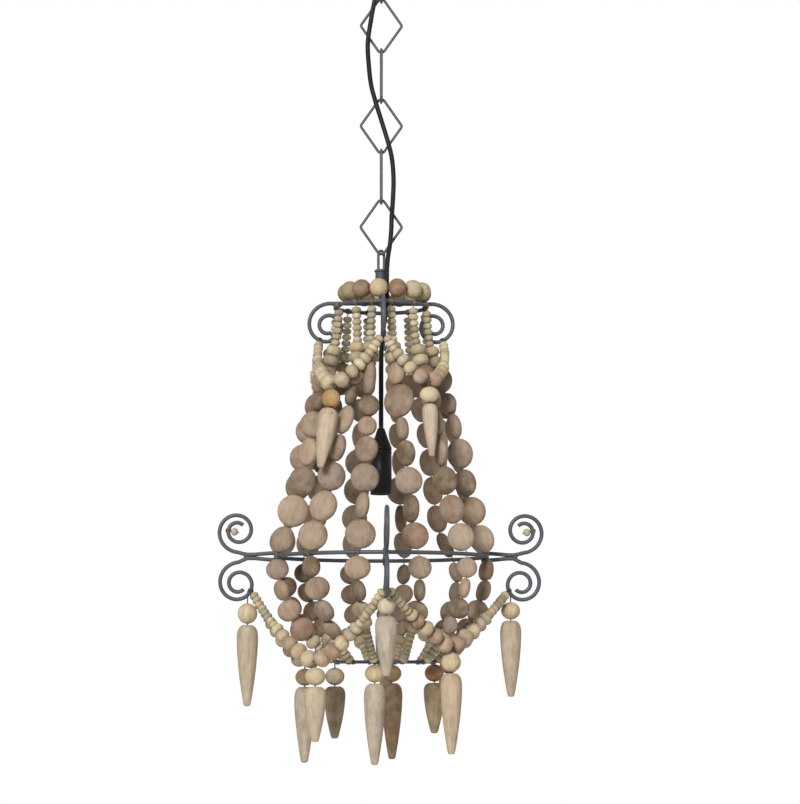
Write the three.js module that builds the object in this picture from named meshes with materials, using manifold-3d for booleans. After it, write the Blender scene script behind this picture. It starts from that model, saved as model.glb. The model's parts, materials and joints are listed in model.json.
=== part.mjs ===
// A beaded basket chandelier that hangs from the ceiling on a chain of bent wire links.
// A small top ring and a large lower ring carry twelve strings of wooden beads, which close
// in a bottom ring. Wire scrolls on both rings hold bead swags and turned wooden drops.
// Millimetres, +Z up, the front is -Y. The origin is on the ceiling, above the middle.

import * as THREE from 'three';
import Module from 'manifold-3d';

const wasm = await Module();
wasm.setup();

// Gap left between pieces that rest on each other.
const seatGap = 0.3;

// Ceiling fitting: a strip screwed to the ceiling, a cup under it, a hook and a cord grip.
const plateLength = 76;
const plateWidth = 20;
const plateThickness = 3;
const screwSpacing = 56;
const screwShankRadius = 2;
const screwHeadRadius = 3.8;
const screwHeadHeight = 2.4;
const screwHoleClearance = 0.4;
const canopyRadius = 50;
const canopyDepth = 34;
const canopyWall = 1.6;
const canopyCornerRadius = 12;
const terminalWidth = 20;
const terminalLength = 14;
const terminalHeight = 12;
const terminalOffset = 13;
const hookWire = 4;
const hookRadius = 8;
const hookSeatDepth = 56.3;
const gripRadius = 6.5;
const gripTipRadius = 4.2;
const gripBoreRadius = 3.4;
const gripFlangeRadius = 8;
const gripFlangeHeight = 2.5;
const gripLength = 18;
const gripX = -4;
const gripY = -16;

// Chain: links of round wire, three narrow bars and three diamonds in turn.
const linkPairs = 3;
const linkWire = 3;
const linkLength = 63;
const barLinkWidth = 16;
const diamondWidth = 48;
const diamondTipRadius = 4.5;
const diamondSideRadius = 3;

// Hanger: a wire eye on a collar, with a stem down to the cross of the top ring.
const eyeWire = 3;
const eyeWidth = 14.5;
const eyeHeight = 21.1;
const eyeTurnDegrees = 35;
const eyeSeatGap = 0.7;
const collarRadius = 6.5;
const collarHeight = 11;
const stemRadius = 2.5;
const stemLength = 24.5;

// Wire frames.
const frameWire = 4.4;
const weldDepth = 0.8;
const wireFacetDepth = 0.9;
const topRingRadius = 50.5;
const lowerRingRadius = 114.5;
const cageHeight = 274.5;
const bottomRingRadius = 54;
const bottomRingShift = 4;
const bottomRingWire = 3.5;
const basketDepth = 114.3;
const topScrollCentre = 58.2;
const topScrollStartRadius = 25;
const topScrollEndRadius = 7.7;
const topScrollTurns = 1.57;
const bracketInset = 5;
const bracketJoinRadius = 145;
const bracketScrollCentre = 155.9;
const bracketScrollLift = 27.8;
const bracketScrollStartRadius = 23.4;
const bracketScrollEndRadius = 8.2;
const bracketScrollTurns = 1.62;
const lowerScrollInsets = [2, 3, 2, 1];
const lowerScrollDrop = 1.8;

// Beads and string.
const stringRadius = 0.8;
const tinyBead = 6.3;
const smallBead = 11;
const coinBead = 29;
const coinThickness = 14;
const lowerCoinBead = 24;
const lowerCoinThickness = 13;
const crownBead = 20.8;
const crownRadius = 42;
const crownShift = 4;
const crownCount = 13;
const swagBead = 16.5;
const strandCount = 12;
const strandTieLength = 3.4;
const strandPassLength = 7.4;

// Drops.
const longDrop = 85;
const shortDrop = 59;
const dropWidth = 23.2;
const shortDropWidth = 20.6;
const dropBead = 21;
const dropBeadHeight = 19;
const dropWireRadius = 0.9;
const dropGap = 1.2;

// Lampholder for a candle bulb, hung on its cord.
const cordRadius = 2.6;
const holderDrop = 133.6;
const capHeight = 24;
const capTopRadius = 4.2;
const sleeveRadius = 11.7;
const sleeveLength = 49;
const socketRadius = 8;
const socketDepth = 34;
const shellWall = 0.7;
const shellLength = 26;
const contactRadius = 5;
const contactHeight = 4;

// Heights that follow from the sizes above.
const pitch = linkLength - 2 * linkWire - seatGap;
const hookSeatZ = -hookSeatDepth;
const firstLinkZ = hookSeatZ + hookWire / 2 + linkWire / 2 + seatGap;
const linkTopZ = (index) => firstLinkZ - index * pitch;
const lastSeatZ = linkTopZ(2 * linkPairs - 1) - linkLength + linkWire;
const eyeTopZ = lastSeatZ + linkWire / 2 + eyeWire / 2 + eyeSeatGap;
const collarTopZ = eyeTopZ - eyeHeight;
const stemFootZ = collarTopZ - collarHeight - stemLength;
const crossZ = stemFootZ - seatGap - frameWire / 2;
const topRingZ = crossZ - frameWire + weldDepth;
const lowerRingZ = topRingZ - cageHeight;
const bottomRingZ = lowerRingZ - basketDepth;
const capTopZ = topRingZ - holderDrop;

// Finishes.
const greySteel = new THREE.MeshStandardMaterial({ color: 0x66686b, roughness: 0.5, metalness: 0.7 });
const zincSteel = new THREE.MeshStandardMaterial({ color: 0x8a8c8e, roughness: 0.4, metalness: 0.9 });
const blackPlastic = new THREE.MeshStandardMaterial({ color: 0x1d1c1c, roughness: 0.45, metalness: 0 });
const blackCord = new THREE.MeshStandardMaterial({ color: 0x1a1a1b, roughness: 0.6, metalness: 0 });
const whitePlastic = new THREE.MeshStandardMaterial({ color: 0xd9d6cc, roughness: 0.5, metalness: 0 });
const brass = new THREE.MeshStandardMaterial({ color: 0xb89a55, roughness: 0.35, metalness: 1 });
const brownWood = new THREE.MeshStandardMaterial({ color: 0x94806a, roughness: 0.75, metalness: 0 });
const paleWood = new THREE.MeshStandardMaterial({ color: 0xb9a98b, roughness: 0.7, metalness: 0 });
const tanWood = new THREE.MeshStandardMaterial({ color: 0xa9896a, roughness: 0.7, metalness: 0 });

const down = new THREE.Vector3(0, 0, -1);
const quadrants = ['front_right', 'back_right', 'back_left', 'front_left'];
const sides = ['front', 'right', 'back', 'left'];
// The wires at the back stand a few degrees aside, so they hide behind those in front.
const sideDegrees = [0, 90, 175.7, 270];

// The azimuth is 0 at the front and grows towards the right.
function polar(radius, azimuth, z) {
  return new THREE.Vector3(radius * Math.sin(azimuth), -radius * Math.cos(azimuth), z);
}

function radians(degrees) {
  return THREE.MathUtils.degToRad(degrees);
}

function sideAzimuth(k) {
  return radians(sideDegrees[k % 4]) + (k > 3 ? 2 * Math.PI : 0);
}

// A share from 0 to 1 that looks random and is the same each time.
function scatter(seed) {
  const value = Math.sin(seed * 12.9898) * 43758.5453;
  return value - Math.floor(value);
}

// An oval ring of points around a place on a path, counted from the side direction.
function ringAt(place, tangent, side, halfWidth, halfDepth, count, turn = 0) {
  const across = side.clone().addScaledVector(tangent, -side.dot(tangent)).normalize();
  const over = tangent.clone().cross(across);
  return Array.from({ length: count }, (_, k) => {
    const angle = (2 * Math.PI * k) / count;
    const a = halfWidth * Math.cos(angle);
    const b = halfDepth * Math.sin(angle);
    return place.clone()
      .addScaledVector(across, a * Math.cos(turn) - b * Math.sin(turn))
      .addScaledVector(over, a * Math.sin(turn) + b * Math.cos(turn));
  });
}

// Joins two rings with a band of triangles, from the points that lie nearest.
function band(first, second, triangles) {
  let shift = 0;
  second.points.forEach((point, k) => {
    if (point.distanceTo(first.points[0]) < second.points[shift].distanceTo(first.points[0])) {
      shift = k;
    }
  });
  const n = first.points.length;
  const m = second.points.length;
  const a = (k) => first.start + (k % n);
  const b = (k) => second.start + ((k + shift) % m);
  let i = 0;
  let j = 0;
  while (i < n || j < m) {
    if (j === m || (i < n && (i + 0.5) / n <= (j + 0.5) / m)) {
      triangles.push(a(i), a(i + 1), b(j));
      i += 1;
    } else {
      triangles.push(a(i), b(j + 1), b(j));
      j += 1;
    }
  }
}

// A closed solid skinned over rings, with flat ends or joined into a loop.
function skin(rings, closed = false) {
  const points = rings.flat();
  const marked = [];
  let start = 0;
  for (const ring of rings) {
    marked.push({ points: ring, start });
    start += ring.length;
  }
  const triangles = [];
  for (let k = 1; k < marked.length; k += 1) {
    band(marked[k - 1], marked[k], triangles);
  }
  const last = marked[marked.length - 1];
  if (closed) {
    band(last, marked[0], triangles);
  } else {
    for (let k = 1; k < marked[0].points.length - 1; k += 1) {
      triangles.push(0, k + 1, k);
    }
    for (let k = 1; k < last.points.length - 1; k += 1) {
      triangles.push(last.start, last.start + k, last.start + k + 1);
    }
  }
  const geometry = new THREE.BufferGeometry();
  const values = points.flatMap((point) => point.toArray());
  geometry.setAttribute('position', new THREE.Float32BufferAttribute(values, 3));
  geometry.setIndex(triangles);
  return geometry;
}

// Round wire along a line of points, with the side direction carried along.
function wire(points, radius, count, side, closed = false) {
  const total = points.length;
  const rings = points.map((point, k) => {
    const before = closed ? points[(k + total - 1) % total] : points[Math.max(k - 1, 0)];
    const after = closed ? points[(k + 1) % total] : points[Math.min(k + 1, total - 1)];
    const tangent = after.clone().sub(before).normalize();
    return ringAt(point, tangent, side, radius, radius, count, Math.PI / count);
  });
  return skin(rings, closed);
}

function circlePoints(radius, z, count, turn = 0) {
  return Array.from({ length: count }, (_, k) => polar(radius, turn + (2 * Math.PI * k) / count, z));
}

// Wire bent into a level ring.
function wireRing(radius, z, thickness, steps, count) {
  return wire(circlePoints(radius, z, steps), thickness / 2, count, down, true);
}

function toManifold(geometry) {
  const position = geometry.getAttribute('position');
  const index = geometry.getIndex();
  const keys = new Map();
  const points = [];
  const spot = (k) => {
    const p = [position.getX(k), position.getY(k), position.getZ(k)];
    const key = p.map((value) => Math.round(value * 2048)).join();
    if (!keys.has(key)) {
      keys.set(key, points.length / 3);
      points.push(...p);
    }
    return keys.get(key);
  };
  const count = index ? index.count : position.count;
  const triangles = [];
  for (let k = 0; k < count; k += 3) {
    const corners = [0, 1, 2].map((c) => spot(index ? index.getX(k + c) : k + c));
    if (new Set(corners).size === 3) {
      triangles.push(...corners);
    }
  }
  return new wasm.Manifold(new wasm.Mesh({
    numProp: 3,
    vertProperties: new Float32Array(points),
    triVerts: new Uint32Array(triangles),
  }));
}

function fromManifold(solid) {
  const mesh = solid.getMesh();
  const geometry = new THREE.BufferGeometry();
  geometry.setAttribute('position', new THREE.BufferAttribute(new Float32Array(mesh.vertProperties), 3));
  geometry.setIndex(new THREE.BufferAttribute(new Uint32Array(mesh.triVerts), 1));
  return geometry;
}

function joined(geometries) {
  return fromManifold(geometries.map(toManifold).reduce((sum, solid) => sum.add(solid)));
}

function cut(geometry, tools) {
  const whole = toManifold(geometry);
  return fromManifold(tools.map(toManifold).reduce((rest, tool) => rest.subtract(tool), whole));
}

// A turned solid about the vertical, from outline points of radius and height.
function turned(outline, steps) {
  const geometry = new THREE.LatheGeometry(outline.map(([r, z]) => new THREE.Vector2(r, z)), steps);
  geometry.rotateX(Math.PI / 2);
  return geometry;
}

const group = new THREE.Group();

function add(name, geometry, material) {
  geometry.computeVertexNormals();
  const mesh = new THREE.Mesh(geometry, material);
  mesh.name = name;
  group.add(mesh);
}

// Ceiling fitting

function roundHole(x, y, radius) {
  return new THREE.Path().absarc(x, y, radius, 0, 2 * Math.PI, true);
}

function ceilingPlate() {
  const shape = new THREE.Shape();
  shape.moveTo(-plateLength / 2, -plateWidth / 2);
  shape.lineTo(plateLength / 2, -plateWidth / 2);
  shape.lineTo(plateLength / 2, plateWidth / 2);
  shape.lineTo(-plateLength / 2, plateWidth / 2);
  const holeRadius = screwShankRadius + screwHoleClearance;
  shape.holes.push(roundHole(-screwSpacing / 2, 0, holeRadius), roundHole(screwSpacing / 2, 0, holeRadius));
  const geometry = new THREE.ExtrudeGeometry(shape, {
    depth: plateThickness,
    bevelEnabled: false,
    curveSegments: 5,
  });
  return geometry.translate(0, 0, -plateThickness);
}

// A pan head screw whose thread ends level with the top of the plate.
function plateScrew(x) {
  const headTopZ = -plateThickness - seatGap;
  return turned([
    [0, headTopZ - screwHeadHeight],
    [screwHeadRadius * 0.7, headTopZ - screwHeadHeight],
    [screwHeadRadius, headTopZ - screwHeadHeight / 2],
    [screwHeadRadius, headTopZ],
    [screwShankRadius, headTopZ],
    [screwShankRadius, 0],
    [0, 0],
  ], 10).translate(x, 0, 0);
}

function canopy() {
  const corner = (radius, wall) => [0.4, 0.75, 1].map((share) => {
    const angle = (share * Math.PI) / 2;
    return [
      canopyRadius - canopyCornerRadius + radius * Math.sin(angle),
      -canopyDepth + wall + radius * (1 - Math.cos(angle)),
    ];
  });
  const holeRadius = hookWire / 2 + seatGap;
  const outline = [
    [holeRadius, -canopyDepth],
    [canopyRadius - canopyCornerRadius, -canopyDepth],
    ...corner(canopyCornerRadius, 0),
    [canopyRadius, -seatGap],
    [canopyRadius - canopyWall, -seatGap],
    ...corner(canopyCornerRadius - canopyWall, canopyWall).reverse(),
    [canopyRadius - canopyCornerRadius, -canopyDepth + canopyWall],
    [holeRadius, -canopyDepth + canopyWall],
    [holeRadius, -canopyDepth],
  ];
  const gripHole = turned([
    [0, -canopyDepth - canopyWall],
    [gripRadius + seatGap, -canopyDepth - canopyWall],
    [gripRadius + seatGap, -canopyDepth + 2 * canopyWall],
    [0, -canopyDepth + 2 * canopyWall],
  ], 12).translate(gripX, gripY, 0);
  return cut(turned(outline, 24), [gripHole]);
}

// A J hook of round wire: the shank goes up through the cup to the plate.
function canopyHook() {
  const centreZ = hookSeatZ + hookRadius;
  const startAngle = radians(54);
  const endAngle = radians(-210);
  const steps = 11;
  const points = [
    new THREE.Vector3(0, 0, -plateThickness - seatGap),
    new THREE.Vector3(0, 0, centreZ + hookRadius + hookWire),
    new THREE.Vector3(hookRadius * 0.08, 0, centreZ + hookRadius + hookWire * 0.45),
  ];
  for (let k = 0; k <= steps; k += 1) {
    const angle = startAngle + ((endAngle - startAngle) * k) / steps;
    points.push(new THREE.Vector3(
      hookRadius * Math.cos(angle),
      0,
      centreZ + hookRadius * Math.sin(angle),
    ));
  }
  return wire(points, hookWire / 2, 6, new THREE.Vector3(0, 1, 0));
}

// The grip sits in the cup's hole, with a flange below and a bore that the cord ends in.
function cordGrip() {
  const flangeTopZ = -canopyDepth - seatGap;
  const tipZ = flangeTopZ - gripLength;
  return turned([
    [0, tipZ],
    [gripTipRadius, tipZ],
    [gripRadius, flangeTopZ - gripFlangeHeight * 2],
    [gripRadius, flangeTopZ - gripFlangeHeight],
    [gripFlangeRadius, flangeTopZ - gripFlangeHeight],
    [gripFlangeRadius, flangeTopZ],
    [gripRadius, flangeTopZ],
    [gripRadius, -canopyDepth + 2 * canopyWall],
    [gripBoreRadius, -canopyDepth + 2 * canopyWall],
    [gripBoreRadius, flangeTopZ],
    [0, flangeTopZ],
  ], 12).translate(gripX, gripY, 0);
}

// A three way terminal block with a notch between the ways, under the plate.
function terminalBlock() {
  const shape = new THREE.Shape();
  const way = terminalWidth / 3;
  const notch = way / 5;
  shape.moveTo(-terminalWidth / 2, 0);
  shape.lineTo(terminalWidth / 2, 0);
  for (let k = 3; k > 0; k -= 1) {
    const right = -terminalWidth / 2 + k * way;
    shape.lineTo(right, terminalHeight);
    shape.lineTo(right - way + notch, terminalHeight);
    shape.lineTo(right - way + notch, terminalHeight * 0.7);
    if (k > 1) {
      shape.lineTo(right - way, terminalHeight * 0.7);
    }
  }
  shape.lineTo(-terminalWidth / 2, terminalHeight * 0.7);
  const geometry = new THREE.ExtrudeGeometry(shape, { depth: terminalLength, bevelEnabled: false });
  return geometry
    .rotateX(-Math.PI / 2)
    .translate(terminalOffset, -terminalLength / 2, -plateThickness - seatGap);
}

// Chain

// A flat loop of link wire in the XZ plane, with its top wire at height 0.
function linkLoop(outline, width) {
  return wire(outline, width / 2, 6, new THREE.Vector3(0, 1, 0), true);
}

function arc(centreX, centreZ, radius, from, to, steps) {
  return Array.from({ length: steps + 1 }, (_, k) => {
    const angle = from + ((to - from) * k) / steps;
    return new THREE.Vector3(centreX + radius * Math.cos(angle), 0, centreZ + radius * Math.sin(angle));
  });
}

function barLink() {
  const half = linkLength / 2 - linkWire / 2;
  const bend = barLinkWidth / 2 - linkWire / 2;
  return linkLoop([
    ...arc(0, half - bend, bend, 0, Math.PI, 6),
    ...arc(0, bend - half, bend, Math.PI, 2 * Math.PI, 6),
  ], linkWire).translate(0, 0, -half);
}

// Four straight sides between round corners; the sides are tangents to both corner arcs.
function diamondLink() {
  const halfHeight = linkLength / 2 - linkWire / 2;
  const halfWidth = diamondWidth / 2 - linkWire / 2;
  const sideX = halfWidth - diamondSideRadius;
  const tipZ = halfHeight - diamondTipRadius;
  const lean = Math.asin((diamondSideRadius - diamondTipRadius) / Math.hypot(sideX, tipZ));
  const normal = Math.atan2(sideX, tipZ) + lean;
  return linkLoop([
    ...arc(sideX, 0, diamondSideRadius, -normal, normal, 3),
    ...arc(0, tipZ, diamondTipRadius, normal, Math.PI - normal, 4),
    ...arc(-sideX, 0, diamondSideRadius, Math.PI - normal, Math.PI + normal, 3),
    ...arc(0, -tipZ, diamondTipRadius, Math.PI + normal, 2 * Math.PI - normal, 4),
  ], linkWire).translate(0, 0, -halfHeight);
}

// Hanger: the eye's legs, the collar and the stem are welded into one piece.
function hangerEye() {
  const bend = eyeWidth / 2 - eyeWire / 2;
  const legs = wire([
    new THREE.Vector3(bend, 0, -eyeHeight - weldDepth),
    ...arc(0, -bend, bend, 0, Math.PI, 6),
    new THREE.Vector3(-bend, 0, -eyeHeight - weldDepth),
  ], eyeWire / 2, 6, new THREE.Vector3(0, 1, 0));
  const collarChamfer = collarRadius / 6;
  const post = turned([
    [0, -eyeHeight],
    [collarRadius + eyeWire / 2 - collarChamfer, -eyeHeight],
    [collarRadius + eyeWire / 2, -eyeHeight - collarChamfer],
    [collarRadius, -eyeHeight - collarHeight],
    [stemRadius, -eyeHeight - collarHeight],
    [stemRadius, -eyeHeight - collarHeight - stemLength],
    [0, -eyeHeight - collarHeight - stemLength],
  ].reverse(), 12);
  return joined([legs, post]).rotateZ(radians(90 - eyeTurnDegrees)).translate(0, 0, eyeTopZ);
}

// Frames

// A place on a scroll that starts above its centre, or below it when mirrored, and
// closes in: the angle grows from the start over the outer side. The offset moves away
// from the scroll's centre.
function scrollPlace(scroll, degrees, offset = 0) {
  const share = degrees / 360 / scroll.turns;
  const radius = scroll.startRadius * (scroll.endRadius / scroll.startRadius) ** share + offset;
  const angle = radians(degrees);
  return [
    scroll.centreRadius + radius * Math.sin(angle),
    scroll.centreZ + scroll.way * radius * Math.cos(angle),
  ];
}

function scrollPoints(scroll, azimuth, steps) {
  return Array.from({ length: steps + 1 }, (_, k) => {
    const [radius, z] = scrollPlace(scroll, (360 * scroll.turns * k) / steps);
    return polar(radius, azimuth, z);
  });
}

const topScroll = {
  centreRadius: topScrollCentre,
  centreZ: crossZ - topScrollStartRadius,
  startRadius: topScrollStartRadius,
  endRadius: topScrollEndRadius,
  turns: topScrollTurns,
  way: 1,
};
const upperBracketScroll = {
  centreRadius: bracketScrollCentre,
  centreZ: lowerRingZ + bracketScrollLift,
  startRadius: bracketScrollStartRadius,
  endRadius: bracketScrollEndRadius,
  turns: bracketScrollTurns,
  way: -1,
};

// The lower scrolls hang a little further in and lower, each bent by hand.
const lowerBracketScroll = (side) => ({
  ...upperBracketScroll,
  centreRadius: bracketScrollCentre - lowerScrollInsets[side % lowerScrollInsets.length],
  centreZ: lowerRingZ - bracketScrollLift - lowerScrollDrop,
  way: 1,
});

function tangential(azimuth) {
  return new THREE.Vector3(Math.cos(azimuth), Math.sin(azimuth), 0);
}

// Two wires cross on top of the ring and end in a scroll each side.
function topFrame() {
  const arms = [0, 1].map((k) => {
    const scroll = (side) => scrollPoints(topScroll, sideAzimuth(side), 15);
    return wire(
      [...scroll(k + 2).reverse(), new THREE.Vector3(0, 0, crossZ), ...scroll(k)],
      frameWire / 2,
      5,
      tangential(sideAzimuth(k)),
    );
  });
  return joined([wireRing(topRingRadius, topRingZ, frameWire, 28, 6), ...arms]);
}

// Four brackets of two wires each: one over and one under the ring, touching further out.
function lowerFrame() {
  const scrolls = [() => upperBracketScroll, lowerBracketScroll];
  const wires = scrolls.flatMap((scrollOf) => sides.map((_, k) => {
    const scroll = scrollOf(k);
    const azimuth = sideAzimuth(k);
    const ringLift = frameWire - weldDepth;
    const joinLift = frameWire / 2 - weldDepth / 4;
    const lead = [
      [lowerRingRadius - bracketInset, ringLift],
      [lowerRingRadius + bracketInset, ringLift],
      [(lowerRingRadius + bracketJoinRadius) / 2, (ringLift + joinLift) / 2],
      [bracketJoinRadius, joinLift],
    ].map(([radius, lift]) => polar(radius, azimuth, lowerRingZ - scroll.way * lift));
    const points = [...lead, ...scrollPoints(scroll, azimuth, 15)];
    return wire(points, frameWire / 2, 5, tangential(azimuth));
  }));
  return joined([wireRing(lowerRingRadius, lowerRingZ, frameWire, 44, 6), ...wires]);
}

// Bead strings

// A bead is skinned over a ring at its end and one or two rings at its belly. Shares of
// the bead's length and width.
const neckShare = 0.4;
const bellyPlaceShares = [0.24, 0.76];
const bellyWidthShare = 0.94;
const tinyWidthShare = 1.6;
const roundWidthShare = 1.1;

// Skins a string of beads along a curve. Each bead has a length along the string, a
// width, a depth and a turn about the string; a bead without width is bare string.
function beadRings(curve, beads, side, closed = false) {
  const asked = beads.reduce((sum, bead) => sum + bead.length, 0);
  const ring = (along, halfWidth, halfDepth, count, turn) => {
    const share = Math.min(along / asked, 1);
    const tangent = curve.getTangentAt(share);
    return ringAt(curve.getPointAt(share), tangent, side, halfWidth, halfDepth, count, turn);
  };
  const rings = [];
  let along = 0;
  let previous = closed ? beads[beads.length - 1] : bare(0);
  for (const bead of beads) {
    const neck = Math.max((Math.min(previous.depth, bead.depth) * neckShare) / 2, stringRadius);
    rings.push(ring(along, neck, neck, bead.count, bead.turn));
    for (const [place, wide] of bead.bellies) {
      rings.push(ring(
        along + place * bead.length,
        (wide * bead.width) / 2,
        (wide * bead.depth) / 2,
        bead.count,
        bead.turn,
      ));
    }
    along += bead.length;
    previous = bead;
  }
  return closed ? rings : [...rings, ring(along, stringRadius, stringRadius, 4, 0)];
}

const oneBelly = [[0.5, 1]];
const twoBellies = bellyPlaceShares.map((place) => [place, bellyWidthShare]);

function bare(length) {
  return { length, width: 0, depth: 0, turn: 0, count: 4, bellies: [] };
}

function tiny(size) {
  const width = size * tinyWidthShare;
  return { length: size, width, depth: width, turn: 0, count: 4, bellies: oneBelly };
}

function round(size) {
  const width = size * roundWidthShare;
  return { length: size, width, depth: width, turn: 0, count: 6, bellies: oneBelly };
}

function coin(size, thickness, turn, widthShare = 1) {
  const width = size * widthShare;
  return { length: size, width, depth: thickness, turn, count: 6, bellies: oneBelly };
}

// Beads pushed together or apart a little, so that they fill a length of string.
function fit(beads, room) {
  const asked = beads.reduce((sum, bead) => sum + bead.length, 0);
  return beads.map((bead) => ({ ...bead, length: (bead.length * room) / asked }));
}

function repeat(count, bead) {
  return Array.from({ length: count }, () => bead);
}

// Radius and height of the strings, as shares of the way out from the top ring to the
// lower ring, and of the way in from the lower ring to the bottom ring.
const cageRadiusShares = [0.055, 0.16, 0.275, 0.41, 0.53, 0.65, 0.78, 0.91];
const cageHeightShares = [0.15, 0.24, 0.325, 0.42, 0.52, 0.69, 0.82, 0.92];
const basketRadiusShares = [-0.04, 0.03, 0.16, 0.42, 0.72];
const basketHeightShares = [0.14, 0.32, 0.52, 0.71, 0.885];
const endLiftShare = 0.6;

// How far some strings hang aside, in degrees: at the tie, at each height share of the
// cage, twice at the lower ring, and at each height share of the basket. The last one holds
// for the rest of the string.
const asideDegrees = {
  0: [-5, -4, -3, -2.5, -2.5, -1.5, 1, 1, 1.5, 2, 2.5, 3.5, 4, 4, 3],
  1: [-4, -3, -2, -1, 0, 0, -1, 1, 3, 3, 3.5, 4.5, 5, 4, 3],
  2: [0, 0, 0, 0, 0, 0, 0, 1, 2, 3, 4, 6, 7, 6, 4, 2],
  3: [0, 0, 0, 0, 0, 0, 0, -1, -2, -3, -4, -6, -7, -6, -4, -2],
  4: [6, 7, 7, 7, 6, 5, 4.5, 4.5, 4, 0, -1, -4, -5, -3, 0],
  8: [0, 0, 0, 0, 0, 0, 0, 0, 0, -1, -2, -7, -12, -12, -9, -6],
  9: [8, 7, 6, 5.5, 7.5, 9.5, 9, 3, 0, 0],
  10: [10, 14.5, 17, 18, 16, 13, 8.5, 5, 2.5, 1, 2, 4, 6, 7, 6, 4],
  11: [1.5, 1, 2, 2, 3, 2.5, 2.5, 1.5, 1.5, 1.5, 1, 0.5, 0.5, 1, 1.5],
};
const evenDegrees = [0, ...cageHeightShares, 1].map(() => 0);

function strandAzimuth(k) {
  return ((k + 0.5) * 2 * Math.PI) / strandCount;
}

function strandCurve(strand) {
  const passRadius = lowerRingRadius + frameWire / 2 + seatGap + stringRadius;
  const endRadius = bottomRingRadius + bottomRingWire / 2 + seatGap + (tinyBead * tinyWidthShare) / 2;
  const tieOffset = (bottomRingWire / 2 + seatGap + stringRadius / 2) * Math.SQRT1_2;
  const places = [[topRingRadius, topRingZ - frameWire / 2 - seatGap]];
  cageRadiusShares.forEach((share, k) => places.push([
    THREE.MathUtils.lerp(topRingRadius, lowerRingRadius, share),
    topRingZ - cageHeight * cageHeightShares[k],
  ]));
  places.push([passRadius, lowerRingZ + frameWire / 2], [passRadius, lowerRingZ - frameWire / 2]);
  basketRadiusShares.forEach((share, k) => places.push([
    THREE.MathUtils.lerp(lowerRingRadius, bottomRingRadius, share),
    lowerRingZ - basketDepth * basketHeightShares[k],
    bottomRingShift * share,
  ]));
  places.push([endRadius, bottomRingZ + tinyBead * endLiftShare, bottomRingShift]);
  places.push([bottomRingRadius + tieOffset, bottomRingZ - tieOffset, bottomRingShift]);
  const aside = asideDegrees[strand] ?? evenDegrees;
  const points = places.map(([radius, z, shift = 0], k) => {
    const swing = radians(aside[Math.min(k, aside.length - 1)]);
    const point = polar(radius, strandAzimuth(strand) + swing, z);
    return point.setX(point.x + shift);
  });
  return new THREE.CatmullRomCurve3(points, false, 'centripetal');
}

// The length of a curve from its start down to the lower ring.
function lengthToRing(curve) {
  const steps = 200;
  for (let k = 1; k <= steps; k += 1) {
    if (curve.getPointAt(k / steps).z <= lowerRingZ) {
      return (curve.getLength() * k) / steps;
    }
  }
  return curve.getLength();
}

const cageCoinShares = [0.9, 0.92, 0.97, 1.02, 1.05, 1.04, 1];
const basketCoinShares = [0.95, 0.96, 0.97, 0.92];
const basketWidthShare = 1.08;
const cageTinyCount = 6;
const cageSmallCount = 2;
const basketSmallCount = 1;

// The six strings at the front, as the picture shows them: coin sizes in the cage and in
// the basket, and how far each coin turns from the front, as shares of a quarter turn. The
// others are even in size and turn by a scatter.
const frontSizeShares = {
  0: [0.85, 1.25, 0.83, 0.94, 1.02, 1, 1],
  1: [0.83, 0.86, 0.93, 1.04, 1, 1.02, 1],
  2: [0.98, 0.77, 0.92, 1.1, 1, 1.04, 1.05],
  9: [0.9, 0.83, 1, 1.02, 1.06, 1.17, 0.97],
  10: [0.87, 0.75, 1.06, 0.98, 1.04, 1.11, 1.09],
  11: [1.28, 0.81, 0.72, 0.97, 1.06, 0.97, 1.13],
};
const frontBasketShares = {
  0: [1.02, 0.96, 0.97],
  1: [0.95, 0.94, 0.97, 0.82],
  2: [0.95, 0.95, 0.96, 0.9],
  9: [0.97, 0.97, 1.01, 1.08],
  10: [0.95, 1.05, 1.06, 0.95],
  11: [1.08, 0.98, 0.86],
};
const frontTurnShares = {
  0: [0.6, 0.35, 0.95, 0.6, 0, 0.75, 0, 0.3, 0.9, 0.2, 0.4, 0.3],
  1: [0.3, 0.5, 0.9, 0.85, 0.3, 0.35, 0.15, 0.4, 1, 0.3, 0.6, 0.5],
  2: [0.3, 0.5, 0.85, 0.4, 0.5, 0.05, 0.45, 0.9, 0.8, 0.2, 0.4, 0.3],
  9: [0.1, 0.9, 0.05, 0.6, 0.15, 0, 0.35, 0.1, 0.7, 0.1, 0.1, 0.5],
  10: [0.5, 0.95, 0.7, 0.75, 0, 0.3, 0.05, 0.5, 0, 0.6, 0.6, 0.5],
  11: [0.95, 0.1, 0.1, 0.4, 0, 0.9, 0, 0, 0.75, 0.3, 0.4, 0.2],
};

function coinTurn(strand, index) {
  const quarter = Math.PI / 2;
  if (frontTurnShares[strand]) {
    return strandAzimuth(strand) + quarter * frontTurnShares[strand][index];
  }
  const beside = strand % 3 === 1;
  const most = beside && index < 5 ? 0.25 : 1;
  return quarter * most * scatter(17 * strand + 3 * index + 1);
}

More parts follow.
